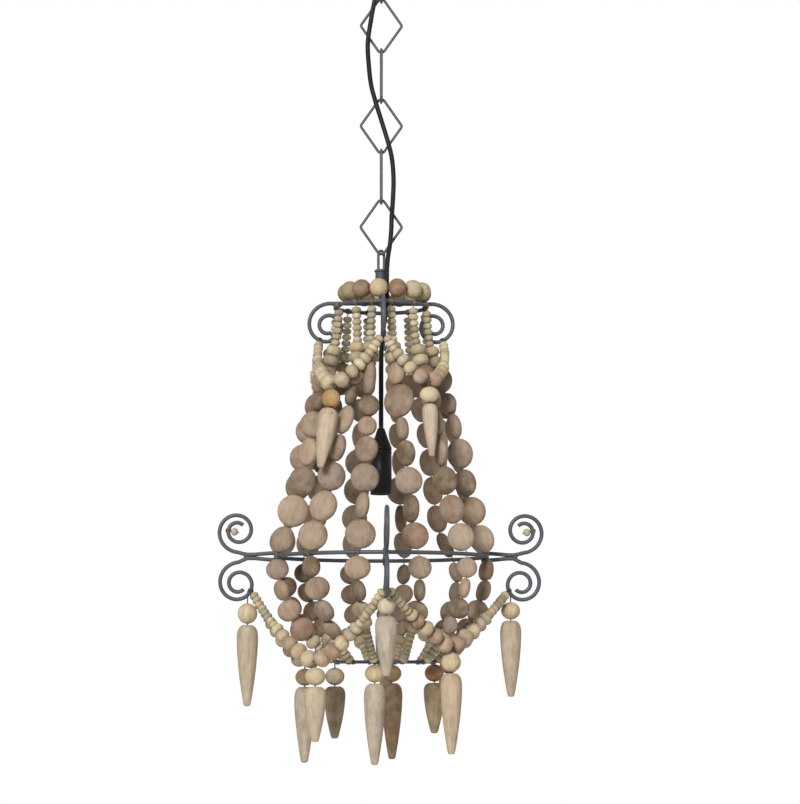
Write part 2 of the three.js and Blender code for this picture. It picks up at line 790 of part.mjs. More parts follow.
// Tiny beads, two small ones and flat coins down to the ring, where the string passes
// outside it; then smaller coins and as many tiny beads as fill it in to the bottom ring.
function strandBeads(strand, curve) {
  const cage = [
    ...repeat(cageTinyCount, tiny(tinyBead)),
    ...repeat(cageSmallCount, tiny(smallBead)),
    ...(frontSizeShares[strand] ?? cageCoinShares).map((share, k) => coin(
      coinBead * share,
      coinThickness,
      coinTurn(strand, k),
    )),
  ];
  const basket = [
    ...(frontBasketShares[strand] ?? basketCoinShares).map((share, k) => coin(
      lowerCoinBead * share,
      lowerCoinThickness * share,
      coinTurn(strand, k + cageCoinShares.length),
      basketWidthShare,
    )),
    ...repeat(basketSmallCount, tiny(smallBead)),
  ];
  const ringLength = lengthToRing(curve);
  const rest = curve.getLength() - ringLength;
  const basketRoom = rest - strandPassLength / 2 - strandTieLength;
  const tinyRoom = basketRoom - basket.reduce((sum, bead) => sum + bead.length, 0);
  basket.push(...repeat(Math.round(tinyRoom / tinyBead), tiny(tinyBead)));
  return [
    bare(strandTieLength),
    ...fit(cage, ringLength - strandTieLength - strandPassLength / 2),
    bare(strandPassLength / 2),
    bare(strandPassLength / 2),
    ...fit(basket, basketRoom),
    bare(strandTieLength),
  ];
}

// Swags hang in a curve between two ties and carry a drop at their middle. Places between
// have shares of the way along and of the fall.
function swagCurve(from, middle, to, between, bow) {
  const shares = bowShares.map(([along, fall]) => [along, THREE.MathUtils.lerp(along, fall, bow)]);
  const points = [
    from,
    ...shares.map(([along, fall]) => between(from, middle, along, fall)),
    middle,
    ...[...shares].reverse().map(([along, fall]) => between(to, middle, along, fall)),
    to,
  ];
  return new THREE.CatmullRomCurve3(points, false, 'centripetal');
}

function flatBetween(start, middle, along, fall) {
  const place = start.clone().lerp(middle, along);
  place.z = THREE.MathUtils.lerp(start.z, middle.z, fall);
  return place;
}

// Part of the way from a straight line to a path round the basket, so that the swag stays
// outside the bead strings.
const roundShare = 0.7;

function roundBetween(start, middle, along, fall) {
  const azimuths = [start, middle].map((point) => Math.atan2(point.x, -point.y));
  const apart = azimuths[1] - azimuths[0];
  const turn = THREE.MathUtils.euclideanModulo(apart + Math.PI, 2 * Math.PI) - Math.PI;
  const place = polar(
    THREE.MathUtils.lerp(Math.hypot(start.x, start.y), Math.hypot(middle.x, middle.y), along),
    azimuths[0] + turn * along,
    THREE.MathUtils.lerp(start.z, middle.z, fall),
  );
  return flatBetween(start, middle, along, fall).lerp(place, roundShare);
}

// Large beads next to the middle, and as many tiny ones as fill each half up to its tie.
function swagBeads(curve, large, tinySize, middleGap) {
  const steps = 200;
  const firstHalf = curve.getLengths(steps)[steps / 2];
  const halves = [firstHalf, curve.getLength() - firstHalf].map((length) => {
    const room = length - swagTieLength - middleGap / 2;
    const tinyRoom = room - large.reduce((sum, bead) => sum + bead.length, 0);
    return fit([...repeat(Math.round(tinyRoom / tinySize), tiny(tinySize)), ...large], room);
  });
  return [
    bare(swagTieLength),
    ...halves[0],
    bare(middleGap / 2),
    bare(middleGap / 2),
    ...halves[1].reverse(),
    bare(swagTieLength),
  ];
}

const swagTieSpread = 1.6;
const swagTieLength = 3;
const topSwagMiddleGap = 5;
const lowerSwagMiddleGap = 4;
const topSwagAngle = 150;
const topSwagRadiusShare = 0.812;
const topSwagFallShares = [0.1894, 0.1967, 0.1967, 0.204];
const lowerSwagAngle = 239;
const lowerSwagRadius = 104;
const lowerSwagAzimuths = [43.5, 131, -128, -44];
const bowShares = [[0.24, 0.4], [0.5, 0.72], [0.76, 0.93]];

// The drops pull the swags straighter: shares of the bow that are left.
const topSwagBowShares = [0.5, 0.7, 0.7, 0.45];
const lowerSwagBowShares = [0.35, 0.4, 0.42, 0.62];

// Where the drop of each top swag hangs, in degrees from the front, and how far it leans
// out over the string behind it.
const topSwagAzimuths = [31, 138, -138, -35.5];
const topDropLeans = [4, 12, 12, 15];
const lowerSwagFalls = [61.1, 64.1, 77.1, 76.1];

function tie(scroll, degrees, azimuth, sideways) {
  const [radius, z] = scrollPlace(scroll, degrees, frameWire / 2 - wireFacetDepth + seatGap);
  return polar(radius, azimuth, z).addScaledVector(tangential(azimuth), sideways);
}

function topSwag(k) {
  const from = tie(topScroll, topSwagAngle, sideAzimuth(k), swagTieSpread);
  const to = tie(topScroll, topSwagAngle, sideAzimuth(k + 1), -swagTieSpread);
  const radius = lowerRingRadius * topSwagRadiusShare;
  const middle = polar(radius, radians(topSwagAzimuths[k]), from.z - cageHeight * topSwagFallShares[k]);
  const curve = swagCurve(from, middle, to, roundBetween, topSwagBowShares[k]);
  const large = [
    ...[0.8, 0.86].map((share) => tiny(smallBead * share)),
    ...[0.8, 0.98].map((share) => round(swagBead * share)),
  ];
  const side = to.clone().sub(from).cross(down).normalize();
  const beads = swagBeads(curve, large, tinyBead, topSwagMiddleGap);
  return { middle, geometry: skin(beadRings(curve, beads, side)) };
}

function lowerSwag(k) {
  const from = tie(lowerBracketScroll(k), lowerSwagAngle, sideAzimuth(k), swagTieSpread);
  const to = tie(lowerBracketScroll(k + 1), lowerSwagAngle, sideAzimuth(k + 1), -swagTieSpread);
  const middle = polar(lowerSwagRadius, radians(lowerSwagAzimuths[k]), from.z - lowerSwagFalls[k]);
  const curve = swagCurve(from, middle, to, flatBetween, lowerSwagBowShares[k]);
  const large = [
    ...[0.8].map((share) => tiny(smallBead * share)),
    ...[0.8, 0.92, 1, 1.04].map((share) => round(swagBead * share)),
  ];
  const side = to.clone().sub(from).cross(down).normalize();
  const beads = swagBeads(curve, large, tinyBead, lowerSwagMiddleGap);
  return { middle, geometry: skin(beadRings(curve, beads, side)) };
}

// Drops

// Outline of a drop from its top to its blunt tip, in shares of its length and width.
const dropOutlineShares = [[0, 0.6], [0.06, 0.87], [0.2, 1], [0.6, 0.78], [1, 0.31]];

// A wire, a round bead and a turned drop on it. The wire starts under what carries it. The
// bead has a width and a height, as shares of the drop bead's.
const plainBead = [1, 1];
function pendant(pivot, carrierRadius, beadDepth, length, width, direction = down, bead = plainBead) {
  const side = Math.abs(direction.x) < 0.9 ? new THREE.Vector3(1, 0, 0) : new THREE.Vector3(0, 1, 0);
  const ring = (along, radius, count) => ringAt(
    pivot.clone().addScaledVector(direction, along),
    direction,
    side,
    radius,
    radius,
    count,
  );
  const beadHeight = dropBeadHeight * bead[1];
  const beadStart = beadDepth - beadHeight / 2;
  const beadEnd = beadDepth + beadHeight / 2;
  const belly = (bellyWidthShare * dropBead * bead[0]) / 2;
  const dropStart = beadEnd + dropGap;
  return skin([
    ring(carrierRadius + seatGap, dropWireRadius, 6),
    ring(beadStart, dropWireRadius, 6),
    ...bellyPlaceShares.map((share) => ring(beadStart + share * beadHeight, belly, 6)),
    ring(beadEnd, dropWireRadius, 6),
    ring(dropStart, dropWireRadius, 6),
    ...dropOutlineShares.map(([along, wide]) => ring(dropStart + along * length, (wide * width) / 2, 8)),
  ]);
}

const topSwagBeadDepths = [14.5, 14.5, 14.5, 15.6];
const topBeadShares = [[1, 0.92], [0.95, 0.95], [0.95, 0.95], [0.95, 1.1]];
const topDropWidthShares = [0.82, 1, 1, 1.04];
const lowerSwagBeadDepth = 15.4;
const swagBeadShares = [[1, 1.1], [1, 1], [1, 1], [1.05, 1]];
const bracketBeadShares = [[0.88, 0.92], [1, 1], [1, 1], [1.02, 1.18]];
const ringBeadDepths = [12.4, 11.8, 12.4, 15.6];
const bracketBeadDepths = [16.3, 18.5, 18.7, 20.1];
const bracketDropAngles = [222, 227, 222, 219];
const ringDropAzimuths = [-13.5, 90, 169, -90];
const topDropShares = [0.96, 1, 0.98, 1.12];
const bracketDropLengths = [shortDrop * 1.05, longDrop * 0.97, longDrop, longDrop * 1.03];
const swagDropLengths = [longDrop, shortDrop, longDrop * 0.98, shortDrop * 0.98];
const ringDropLengths = [longDrop * 1.01, shortDrop * 0.92, longDrop * 0.98, shortDrop * 0.95];

// Lampholder

function lampCap() {
  const baseZ = capTopZ - capHeight;
  const inner = sleeveRadius * 0.62;
  return turned([
    [0, capTopZ - capHeight * 0.3],
    [inner * 0.5, capTopZ - capHeight * 0.3],
    [inner, baseZ],
    [sleeveRadius, baseZ],
    [sleeveRadius * 0.93, baseZ + capHeight * 0.14],
    [sleeveRadius * 0.7, baseZ + capHeight * 0.45],
    [sleeveRadius * 0.5, baseZ + capHeight * 0.72],
    [capTopRadius, capTopZ],
    [0, capTopZ],
  ], 16);
}

function lampSleeve() {
  const topZ = capTopZ - capHeight - seatGap;
  const mouthZ = topZ - sleeveLength;
  return turned([
    [0, mouthZ + socketDepth],
    [socketRadius, mouthZ + socketDepth],
    [socketRadius, mouthZ],
    [sleeveRadius, mouthZ],
    [sleeveRadius, topZ],
    [0, topZ],
  ], 16);
}

function socketShell() {
  const outer = socketRadius - seatGap;
  const topZ = capTopZ - capHeight - sleeveLength + socketDepth - 2 * seatGap;
  return turned([
    [outer - shellWall, topZ - shellLength],
    [outer, topZ - shellLength],
    [outer, topZ],
    [outer - shellWall, topZ],
    [outer - shellWall, topZ - shellLength],
  ], 16);
}

function socketContact() {
  const topZ = capTopZ - capHeight - sleeveLength + socketDepth - 2 * seatGap;
  return turned([
    [0, topZ - contactHeight],
    [contactRadius * 0.4, topZ - contactHeight],
    [contactRadius, topZ - contactHeight / 2],
    [contactRadius, topZ],
    [0, topZ],
  ], 10);
}

// The cord's route, a list chosen by hand: out of the grip, down beside the chain in
// front of the diamonds, past the collar, through the crown and in to the lampholder.
const cordRoute = [
  [-4, -16, -52.8],
  [-4, -15.9, -62],
  [-4.8, -14, -78],
  [-5.8, -11.2, -94],
  [-7.5, -8.8, -110],
  [-11.5, -7.6, -132.5],
  [-15.3, -7, -161],
  [-14.2, -6.8, -185],
  [-11.5, -6.8, -208],
  [-6.8, -6.6, -226],
  [0, -6.4, -248],
  [7, -6.5, -271],
  [11.3, -6.8, -289],
  [13.3, -7, -312],
  [12.7, -7, -335],
  [11.3, -7, -356],
  [10.8, -7.2, -370],
  [9.4, -7.7, -386],
  [7.2, -8.8, -400],
  [6, -9.8, -414],
  [5.8, -9.8, -427],
  [5.6, -9.2, -440],
  [5.5, -8, -453],
  [4, -5.4, -467],
  [1.8, -2.6, -484],
  [0.4, -0.6, -503],
  [0, 0, -524],
  [0, 0, -550],
  [0, 0, -588.2],
];
const cordStep = 3 * cordRadius * 2.2;

function powerCord() {
  const points = cordRoute.map(([x, y, z]) => new THREE.Vector3(x, y, z));
  const curve = new THREE.CatmullRomCurve3(points, false, 'centripetal');
  const steps = Math.round(curve.getLength() / cordStep);
  return wire(curve.getSpacedPoints(steps), cordRadius, 6, new THREE.Vector3(1, 0, 0));
}

add('ceiling_plate', ceilingPlate(), zincSteel);
add('plate_screw_left', plateScrew(-screwSpacing / 2), zincSteel);
add('plate_screw_right', plateScrew(screwSpacing / 2), zincSteel);
add('terminal_block', terminalBlock(), whitePlastic);
add('canopy', canopy(), greySteel);
add('canopy_hook', canopyHook(), greySteel);
add('cord_grip', cordGrip(), blackPlastic);

for (let k = 0; k < linkPairs; k += 1) {
  add(`bar_link_${k + 1}`, barLink().rotateZ(Math.PI / 2).translate(0, 0, linkTopZ(2 * k)), greySteel);
  add(`diamond_link_${k + 1}`, diamondLink().translate(0, 0, linkTopZ(2 * k + 1)), greySteel);
}

add('hanger_eye', hangerEye(), greySteel);
add('top_frame', topFrame(), greySteel);
add('lower_frame', lowerFrame(), greySteel);
const bottomRing = wireRing(bottomRingRadius, bottomRingZ, bottomRingWire, 28, 5);
add('bottom_ring', bottomRing.translate(bottomRingShift, 0, 0), greySteel);

// The crown beads rest on the cross wires. The string starts between two beads.
const crownTurn = radians(-25);
const crownZ = crossZ + frameWire / 2 + seatGap + (bellyWidthShare * crownBead) / 2;
const crownPoints = circlePoints(crownRadius, crownZ, 24, crownTurn)
  .map((point) => point.setX(point.x + crownShift));
const crownCurve = new THREE.CatmullRomCurve3(crownPoints, true, 'centripetal');
const crownBeads = repeat(crownCount, { ...coin(crownBead, crownBead, 0), bellies: twoBellies });
add('crown_beads', skin(beadRings(crownCurve, crownBeads, down, true), true), tanWood);

for (let k = 0; k < strandCount; k += 1) {
  const curve = strandCurve(k);
  const name = `strand_${String(k + 1).padStart(2, '0')}`;
  add(name, skin(beadRings(curve, strandBeads(k, curve), tangential(strandAzimuth(k)))), brownWood);
}

quadrants.forEach((name, k) => {
  const top = topSwag(k);
  add(`top_swag_${name}`, top.geometry, paleWood);
  const outward = polar(1, radians(topSwagAzimuths[k]), 0);
  const lean = radians(topDropLeans[k]);
  const direction = down.clone().multiplyScalar(Math.cos(lean)).addScaledVector(outward, Math.sin(lean));
  add(
    `top_pendant_${name}`,
    pendant(
      top.middle,
      stringRadius,
      topSwagBeadDepths[k],
      shortDrop * topDropShares[k],
      shortDropWidth * topDropWidthShares[k],
      direction,
      topBeadShares[k],
    ),
    paleWood,
  );
  const lower = lowerSwag(k);
  add(`lower_swag_${name}`, lower.geometry, paleWood);
  add(
    `swag_pendant_${name}`,
    pendant(
      lower.middle,
      stringRadius,
      lowerSwagBeadDepth,
      swagDropLengths[k],
      dropWidth,
      down,
      swagBeadShares[k],
    ),
    paleWood,
  );
});

sides.forEach((name, k) => {
  const azimuth = sideAzimuth(k);
  const [radius, z] = scrollPlace(lowerBracketScroll(k), bracketDropAngles[k]);
  const slope = Math.abs(Math.cos(radians(bracketDropAngles[k])));
  const under = (frameWire / 2 - wireFacetDepth + seatGap) / slope - seatGap;
  add(
    `bracket_pendant_${name}`,
    pendant(
      polar(radius, azimuth, z),
      under,
      bracketBeadDepths[k],
      bracketDropLengths[k],
      dropWidth,
      down,
      bracketBeadShares[k],
    ),
    paleWood,
  );
  add(
    `ring_pendant_${name}`,
    pendant(
      polar(bottomRingRadius, radians(ringDropAzimuths[k]), bottomRingZ)
        .add(new THREE.Vector3(bottomRingShift, 0, 0)),
      bottomRingWire / 2,
      ringBeadDepths[k],
      ringDropLengths[k],
      dropWidth,
    ),
    paleWood,
  );
});

add('lampholder_cap', lampCap(), blackPlastic);
add('lampholder_sleeve', lampSleeve(), blackPlastic);
add('socket_shell', socketShell(), brass);
add('socket_contact', socketContact(), brass);
add('power_cord', powerCord(), blackCord);

export default group;
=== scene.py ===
import json
from math import asin, atan2, cos, hypot, pi, radians, sin, sqrt, tau
from random import Random

import bmesh
import bpy
from mathutils import Matrix, Vector


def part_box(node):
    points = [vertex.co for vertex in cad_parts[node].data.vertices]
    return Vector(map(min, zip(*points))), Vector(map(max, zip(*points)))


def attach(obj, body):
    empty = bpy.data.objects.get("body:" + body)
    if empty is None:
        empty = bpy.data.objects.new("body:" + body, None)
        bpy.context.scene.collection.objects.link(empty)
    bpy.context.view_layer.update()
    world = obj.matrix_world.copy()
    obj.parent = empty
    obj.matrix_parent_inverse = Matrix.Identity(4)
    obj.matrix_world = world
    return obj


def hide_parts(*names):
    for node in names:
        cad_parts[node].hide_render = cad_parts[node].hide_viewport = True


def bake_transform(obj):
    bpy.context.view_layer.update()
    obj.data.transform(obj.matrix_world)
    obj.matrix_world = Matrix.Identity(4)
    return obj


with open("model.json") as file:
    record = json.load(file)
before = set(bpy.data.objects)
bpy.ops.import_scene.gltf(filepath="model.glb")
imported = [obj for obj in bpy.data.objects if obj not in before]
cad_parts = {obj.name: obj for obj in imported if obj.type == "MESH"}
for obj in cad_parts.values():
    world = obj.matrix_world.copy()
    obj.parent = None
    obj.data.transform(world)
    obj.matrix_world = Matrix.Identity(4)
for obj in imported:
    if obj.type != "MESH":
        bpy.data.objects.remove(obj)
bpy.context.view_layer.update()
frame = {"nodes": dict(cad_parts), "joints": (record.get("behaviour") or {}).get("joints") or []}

# Room and camera
# The chandelier hangs in a plain white room. The camera stands 2.9 m away, level with
# its lowest beads, and looks up a little, from a few degrees left of the front bracket.

CAMERA_DISTANCE = 2.87
CAMERA_HEIGHT = -0.8525
CAMERA_TURN = radians(-2.2)
CAMERA_PITCH = radians(5.82)
CAMERA_YAW = radians(0.414)
PICTURE_HEIGHT = 804
FOCAL_PIXELS = 2630
SENSOR = 36.0
FLOOR_DROP = 1.75
FLOOR_SIZE = 14.0
LAMP_TARGET = Vector((0, 0, -0.65))
SKY_FILL = 0.15
FLOOR_GLOW = 0.35


def placed(name, data):
    """A new object in the scene, made of a mesh, a lamp or a camera."""
    made = bpy.data.objects.new(name, data)
    bpy.context.collection.objects.link(made)
    return made


camera_data = bpy.data.cameras.new("camera")
camera_data.sensor_width = SENSOR
camera_data.lens = SENSOR * FOCAL_PIXELS / PICTURE_HEIGHT
camera = placed("camera", camera_data)
camera.location = (
    CAMERA_DISTANCE * sin(CAMERA_TURN),
    -CAMERA_DISTANCE * cos(CAMERA_TURN),
    CAMERA_HEIGHT,
)
camera.rotation_euler = (pi / 2 + CAMERA_PITCH, 0, CAMERA_TURN - CAMERA_YAW)
bpy.context.scene.camera = camera
bpy.context.scene.view_settings.view_transform = "Standard"


def area_lamp(name, place, size, power):
    """A soft lamp that faces the middle of the beads."""
    lamp = bpy.data.lights.new(name, "AREA")
    lamp.size = size
    lamp.energy = power
    holder = placed(name, lamp)
    holder.location = place
    holder.rotation_euler = (LAMP_TARGET - Vector(place)).to_track_quat("-Z", "Y").to_euler()


area_lamp("key_lamp", (-1.0, -2.8, 0.55), 0.9, 98)
area_lamp("fill_lamp", (2.4, -1.2, -0.5), 2.0, 10)
area_lamp("back_lamp", (0.6, 2.4, 0.4), 2.0, 24)


def white_to_viewer(nodes, links):
    """1 where the camera, a reflection or glass sees the surface itself."""
    rays = nodes.new("ShaderNodeLightPath")
    seen = rays.outputs["Is Camera Ray"]
    for name in ("Is Glossy Ray", "Is Transmission Ray"):
        either = nodes.new("ShaderNodeMath")
        either.operation = "MAXIMUM"
        links.new(seen, either.inputs[0])
        links.new(rays.outputs[name], either.inputs[1])
        seen = either.outputs[0]
    return seen


world = bpy.data.worlds.new("room")
bpy.context.scene.world = world
world.use_nodes = True
sky = world.node_tree.nodes["Background"]
sky.inputs["Color"].default_value = (1, 1, 1, 1)
blend_strength = world.node_tree.nodes.new("ShaderNodeMix")
blend_strength.inputs["A"].default_value = SKY_FILL
blend_strength.inputs["B"].default_value = 1.0
world.node_tree.links.new(
    white_to_viewer(world.node_tree.nodes, world.node_tree.links), blend_strength.inputs["Factor"]
)
world.node_tree.links.new(blend_strength.outputs["Result"], sky.inputs["Strength"])

floor_mesh = bpy.data.meshes.new("floor")
floor_form = bmesh.new()
bmesh.ops.create_grid(
    floor_form, x_segments=1, y_segments=1, size=FLOOR_SIZE / 2,
    matrix=Matrix.Translation((0, 0, -FLOOR_DROP)),
)
floor_form.to_mesh(floor_mesh)
floor_form.free()
floor = placed("floor", floor_mesh)
floor_finish = bpy.data.materials.new("white_floor")
floor_finish.use_nodes = True
floor_nodes = floor_finish.node_tree.nodes
floor_shader = floor_nodes["Principled BSDF"]
floor_shader.inputs["Base Color"].default_value = (0.85, 0.85, 0.85, 1)
floor_shader.inputs["Roughness"].default_value = 0.9
floor_shader.inputs["Emission Color"].default_value = (1, 1, 1, 1)
floor_glow = floor_nodes.new("ShaderNodeMath")
floor_glow.operation = "MULTIPLY"
floor_glow.inputs[1].default_value = FLOOR_GLOW
floor_finish.node_tree.links.new(
    white_to_viewer(floor_nodes, floor_finish.node_tree.links), floor_glow.inputs[0]
)
floor_finish.node_tree.links.new(floor_glow.outputs[0], floor_shader.inputs["Emission Strength"])
floor_mesh.materials.append(floor_finish)

# Power cord
# A round black two core cord with a satin sheath. It leaves the ceiling cup through its
# grip, hangs beside the chain in front of the diamond links, and goes down through the
# crown to the lampholder. It is cut into pieces between the links of the chain.

CORD_DIAMETER = 0.0052
CORD_ROUTE_MM = [
    (-4, -16, -52.8), (-4, -15.9, -62), (-4.8, -14, -78), (-5.8, -11.2, -94),
    (-7.5, -8.8, -110), (-11.5, -7.6, -132.5), (-15.3, -7, -161), (-14.2, -6.8, -185),
    (-11.5, -6.8, -208), (-6.8, -6.6, -226), (0, -6.4, -248), (7, -6.5, -271),
    (11.3, -6.8, -289), (13.3, -7, -312), (12.7, -7, -335), (11.3, -7, -356),
    (10.8, -7.2, -370), (9.4, -7.7, -386), (7.2, -8.8, -400), (6, -9.8, -414),
    (5.8, -9.8, -427), (5.6, -9.2, -440), (5.5, -8, -453), (4, -5.4, -467),
    (1.8, -2.6, -484), (0.4, -0.6, -503), (0, 0, -524), (0, 0, -550), (0, 0, -588.2),
]


def smooth_path(points, steps):
    """Places along the smooth bend that a wire or a string takes through the points."""
    spots = [2 * points[0] - points[1], *points, 2 * points[-1] - points[-2]]
    path = [points[0].copy()]
    for before, start, end, after in zip(spots, spots[1:], spots[2:], spots[3:]):
        first, middle, last = (
            sqrt((b - a).length) for a, b in ((before, start), (start, end), (end, after))
        )
        leave = (start - before) / first - (end - before) / (first + middle) + (end - start) / middle
        arrive = (end - start) / middle - (after - start) / (middle + last) + (after - end) / last
        leave *= middle
        arrive *= middle
        for step in range(1, steps + 1):
            t = step / steps
            path.append(
                start * (2 * t**3 - 3 * t**2 + 1)
                + leave * (t**3 - 2 * t**2 + t)
                + end * (3 * t**2 - 2 * t**3)
                + arrive * (t**3 - t**2)
            )
    return path


def length_of(path):
    return sum((b - a).length for a, b in zip(path, path[1:]))


def wire_mesh(name, paths, radius, fineness=3, closed=False):
    """Round wire, cord or thread along each path, as one mesh."""
    curve = bpy.data.curves.new(name, "CURVE")
    curve.dimensions = "3D"
    curve.bevel_depth = radius
    curve.bevel_resolution = fineness
    curve.use_fill_caps = True
    for path in paths:
        spline = curve.splines.new("POLY")
        spline.points.add(len(path) - 1)
        for point, place in zip(spline.points, path):
            point.co = (*place, 1)
        spline.use_cyclic_u = closed
    holder = bpy.data.objects.new(name, curve)
    mesh = bpy.data.meshes.new_from_object(holder)
    mesh.name = name
    bpy.data.objects.remove(holder)
    bpy.data.curves.remove(curve)
    for polygon in mesh.polygons:
        polygon.use_smooth = True
    return mesh


def new_piece(name, mesh, finishes):
    """Puts a finished mesh in the scene as a piece of the lamp."""
    for finish in finishes:
        mesh.materials.append(finish)
    piece = placed(name, mesh)
    return piece


def linear(hex_colour):
    """A colour written as on a paint chart, as the shader needs it."""
    values = [int(hex_colour[k : k + 2], 16) / 255 for k in (0, 2, 4)]
    return (*[((v + 0.055) / 1.055) ** 2.4 if v > 0.04045 else v / 12.92 for v in values], 1)


EFFECT_OUTPUTS = [
    ("Color", "NodeSocketColor"), ("Roughness", "NodeSocketFloat"), ("Height", "NodeSocketFloat"),
]


def effect_group(name, inputs):
    """An empty shader effect with named values in, and colour, gloss and height out."""
    tree = bpy.data.node_groups.new(name, "ShaderNodeTree")
    for socket, kind, value in inputs:
        tree.interface.new_socket(socket, in_out="INPUT", socket_type=kind).default_value = value
    for socket, kind in EFFECT_OUTPUTS:
        tree.interface.new_socket(socket, in_out="OUTPUT", socket_type=kind)
    return tree, tree.nodes.new("NodeGroupInput"), tree.nodes.new("NodeGroupOutput")


def add_node(tree, kind, links=(), **settings):
    """A shader node with its inputs linked or set by name or place."""
    made = tree.nodes.new(kind)
    for key, value in settings.items():
        setattr(made, key, value)
    for key, value in links:
        if isinstance(value, bpy.types.NodeSocket):
            tree.links.new(value, made.inputs[key])
        else:
            made.inputs[key].default_value = value
    return made


def colour_socket(sockets, name):
    """The colour socket of that name on a mixing node, which has one for each kind."""
    return next(socket for socket in sockets if socket.name == name and socket.type == "RGBA")


def noise(tree, vector, scale, detail, *more):
    """A noise texture's value."""
    return add_node(tree, "ShaderNodeTexNoise", [
        ("Vector", vector), ("Scale", scale), ("Detail", detail), *more,
    ]).outputs["Fac"]


def ranged(tree, value, start, end, low, high):
    """A value stretched from one range to another."""
    return add_node(tree, "ShaderNodeMapRange", [
        ("Value", value), ("From Min", start), ("From Max", end), ("To Min", low), ("To Max", high),
    ]).outputs[0]


def worked_out(tree, operation, first, second):
    return add_node(tree, "ShaderNodeMath", [(0, first), (1, second)], operation=operation).outputs[0]


def lightened(tree, colour, value):
    """A colour made lighter or darker."""
    return add_node(tree, "ShaderNodeHueSaturation", [
        ("Color", colour), ("Value", value),
    ]).outputs["Color"]


def blended(tree, factor, first, second):
    """A mix of two colours, of which the second may be a fixed one."""
    mix = add_node(tree, "ShaderNodeMix", [("Factor", factor)], data_type="RGBA")
    tree.links.new(first, colour_socket(mix.inputs, "A"))
    if isinstance(second, bpy.types.NodeSocket):
        tree.links.new(second, colour_socket(mix.inputs, "B"))
    else:
        colour_socket(mix.inputs, "B").default_value = second
    return colour_socket(mix.outputs, "Result")


def effect_finish(name, effect, values, shine, bump, reach):
    """A finish whose colour, gloss and relief come from a shared shader effect."""
    finish = bpy.data.materials.new(name)
    finish.use_nodes = True
    tree = finish.node_tree
    shader = tree.nodes["Principled BSDF"]
    shader.inputs["Specular IOR Level"].default_value = shine
    made = add_node(tree, "ShaderNodeGroup", values, node_tree=effect)
    for output, target in (("Color", "Base Color"), ("Roughness", "Roughness")):
        tree.links.new(made.outputs[output], shader.inputs[target])
    relief = add_node(tree, "ShaderNodeBump", [
        ("Height", made.outputs["Height"]), ("Strength", bump), ("Distance", reach),
    ])
    tree.links.new(relief.outputs["Normal"], shader.inputs["Normal"])
    return finish, tree, made


# Fine speckle: a small change of shade and of gloss, with a low grain in the height.
speckle, speckle_in, speckle_out = effect_group(
    "speckle",
    [("Vector", "NodeSocketVector", (0, 0, 0)), ("Scale", "NodeSocketFloat", 400.0),
     ("Shade", "NodeSocketColor", (0.1, 0.1, 0.1, 1)), ("Spread", "NodeSocketFloat", 0.3)],
)
speckle_place, speckle_tint = speckle_in.outputs["Vector"], speckle_in.outputs["Shade"]
speckle_fine = noise(speckle, speckle_place, speckle_in.outputs["Scale"], 3.0)
speckle_broad = noise(speckle, speckle_place, 45.0, 2.0)
speckle_sum = worked_out(speckle, "ADD", speckle_fine, speckle_broad)
speckle_value = ranged(speckle, speckle_sum, 0.7, 1.3, 0.75, 1.25)
speckle_shade = lightened(speckle, speckle_tint, speckle_value)
for name, result in (
    ("Color", blended(speckle, speckle_in.outputs["Spread"], speckle_tint, speckle_shade)),
    ("Roughness", ranged(speckle, speckle_broad, 0.35, 0.65, 0.4, 0.62)),
    ("Height", speckle_fine),
):
    speckle.links.new(result, speckle_out.inputs[name])


def speckled_finish(name, colour, scale, spread, metallic, bump, shine=0.5):
    """A plain painted, moulded or metal finish with a fine speckle."""
    values = [("Scale", scale), ("Shade", linear(colour)), ("Spread", spread)]
    finish, tree, made = effect_finish(name, speckle, values, shine, bump, 0.0004)
    place = add_node(tree, "ShaderNodeTexCoord")
    tree.links.new(place.outputs["Object"], made.inputs["Vector"])
    tree.nodes["Principled BSDF"].inputs["Metallic"].default_value = metallic
    return finish


cord_sheath = speckled_finish("black_sheath", "0a0a0b", 900.0, 0.5, 0.0, 0.15, shine=0.2)
cord_points = [Vector(point) / 1000 for point in CORD_ROUTE_MM]
cord_path = smooth_path(cord_points, 10)
cord_bodies = [
    "ceiling_fitting", "bar_1", "diamond_1", "bar_2", "diamond_2", "bar_3", "diamond_3",
    "chandelier", "lamp",
]
seat_heights = {joint["child"]: joint["pos_m"][2] for joint in frame["joints"]}
cord_cuts = [
    (seat_heights[a] + seat_heights[b]) / 2 for a, b in zip(cord_bodies[1:], cord_bodies[2:])
]
cord_ends = [cord_path[0].z, *cord_cuts, cord_path[-1].z]
cord_pieces = []
for number, (top, bottom) in enumerate(zip(cord_ends, cord_ends[1:])):
    stretch = [place for place in cord_path if bottom - 1e-6 <= place.z <= top + 1e-6]
    if number:
        stretch.insert(0, cord_pieces[-1][1][-1])
    below = [place for place in cord_path if place.z < bottom - 1e-6]
    if below:
        above = stretch[-1]
        stretch.append(above.lerp(below[0], (above.z - bottom) / (above.z - below[0].z)))
    stretch = [a for a, b in zip(stretch, stretch[1:] + [None]) if b is None or (a - b).length > 1e-4]
    mesh = wire_mesh(f"cord_{number + 1}", [stretch], CORD_DIAMETER / 2, 5)
    piece = new_piece(f"cord_{number + 1}", mesh, [cord_sheath])
    stretch[0].lerp(stretch[-1], 0.15)
    stretch[0].lerp(stretch[-1], 0.85)
    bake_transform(piece)
    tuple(stretch[0])
    length_of(stretch)
    cord_pieces.append((piece, stretch))
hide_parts("power_cord")

# Ceiling cup and its fixings
# A steel strip is screwed to the ceiling and carries a hook and a terminal block. A
# spun steel cup, painted grey like the wire, covers them. A screwed grip holds the cord.

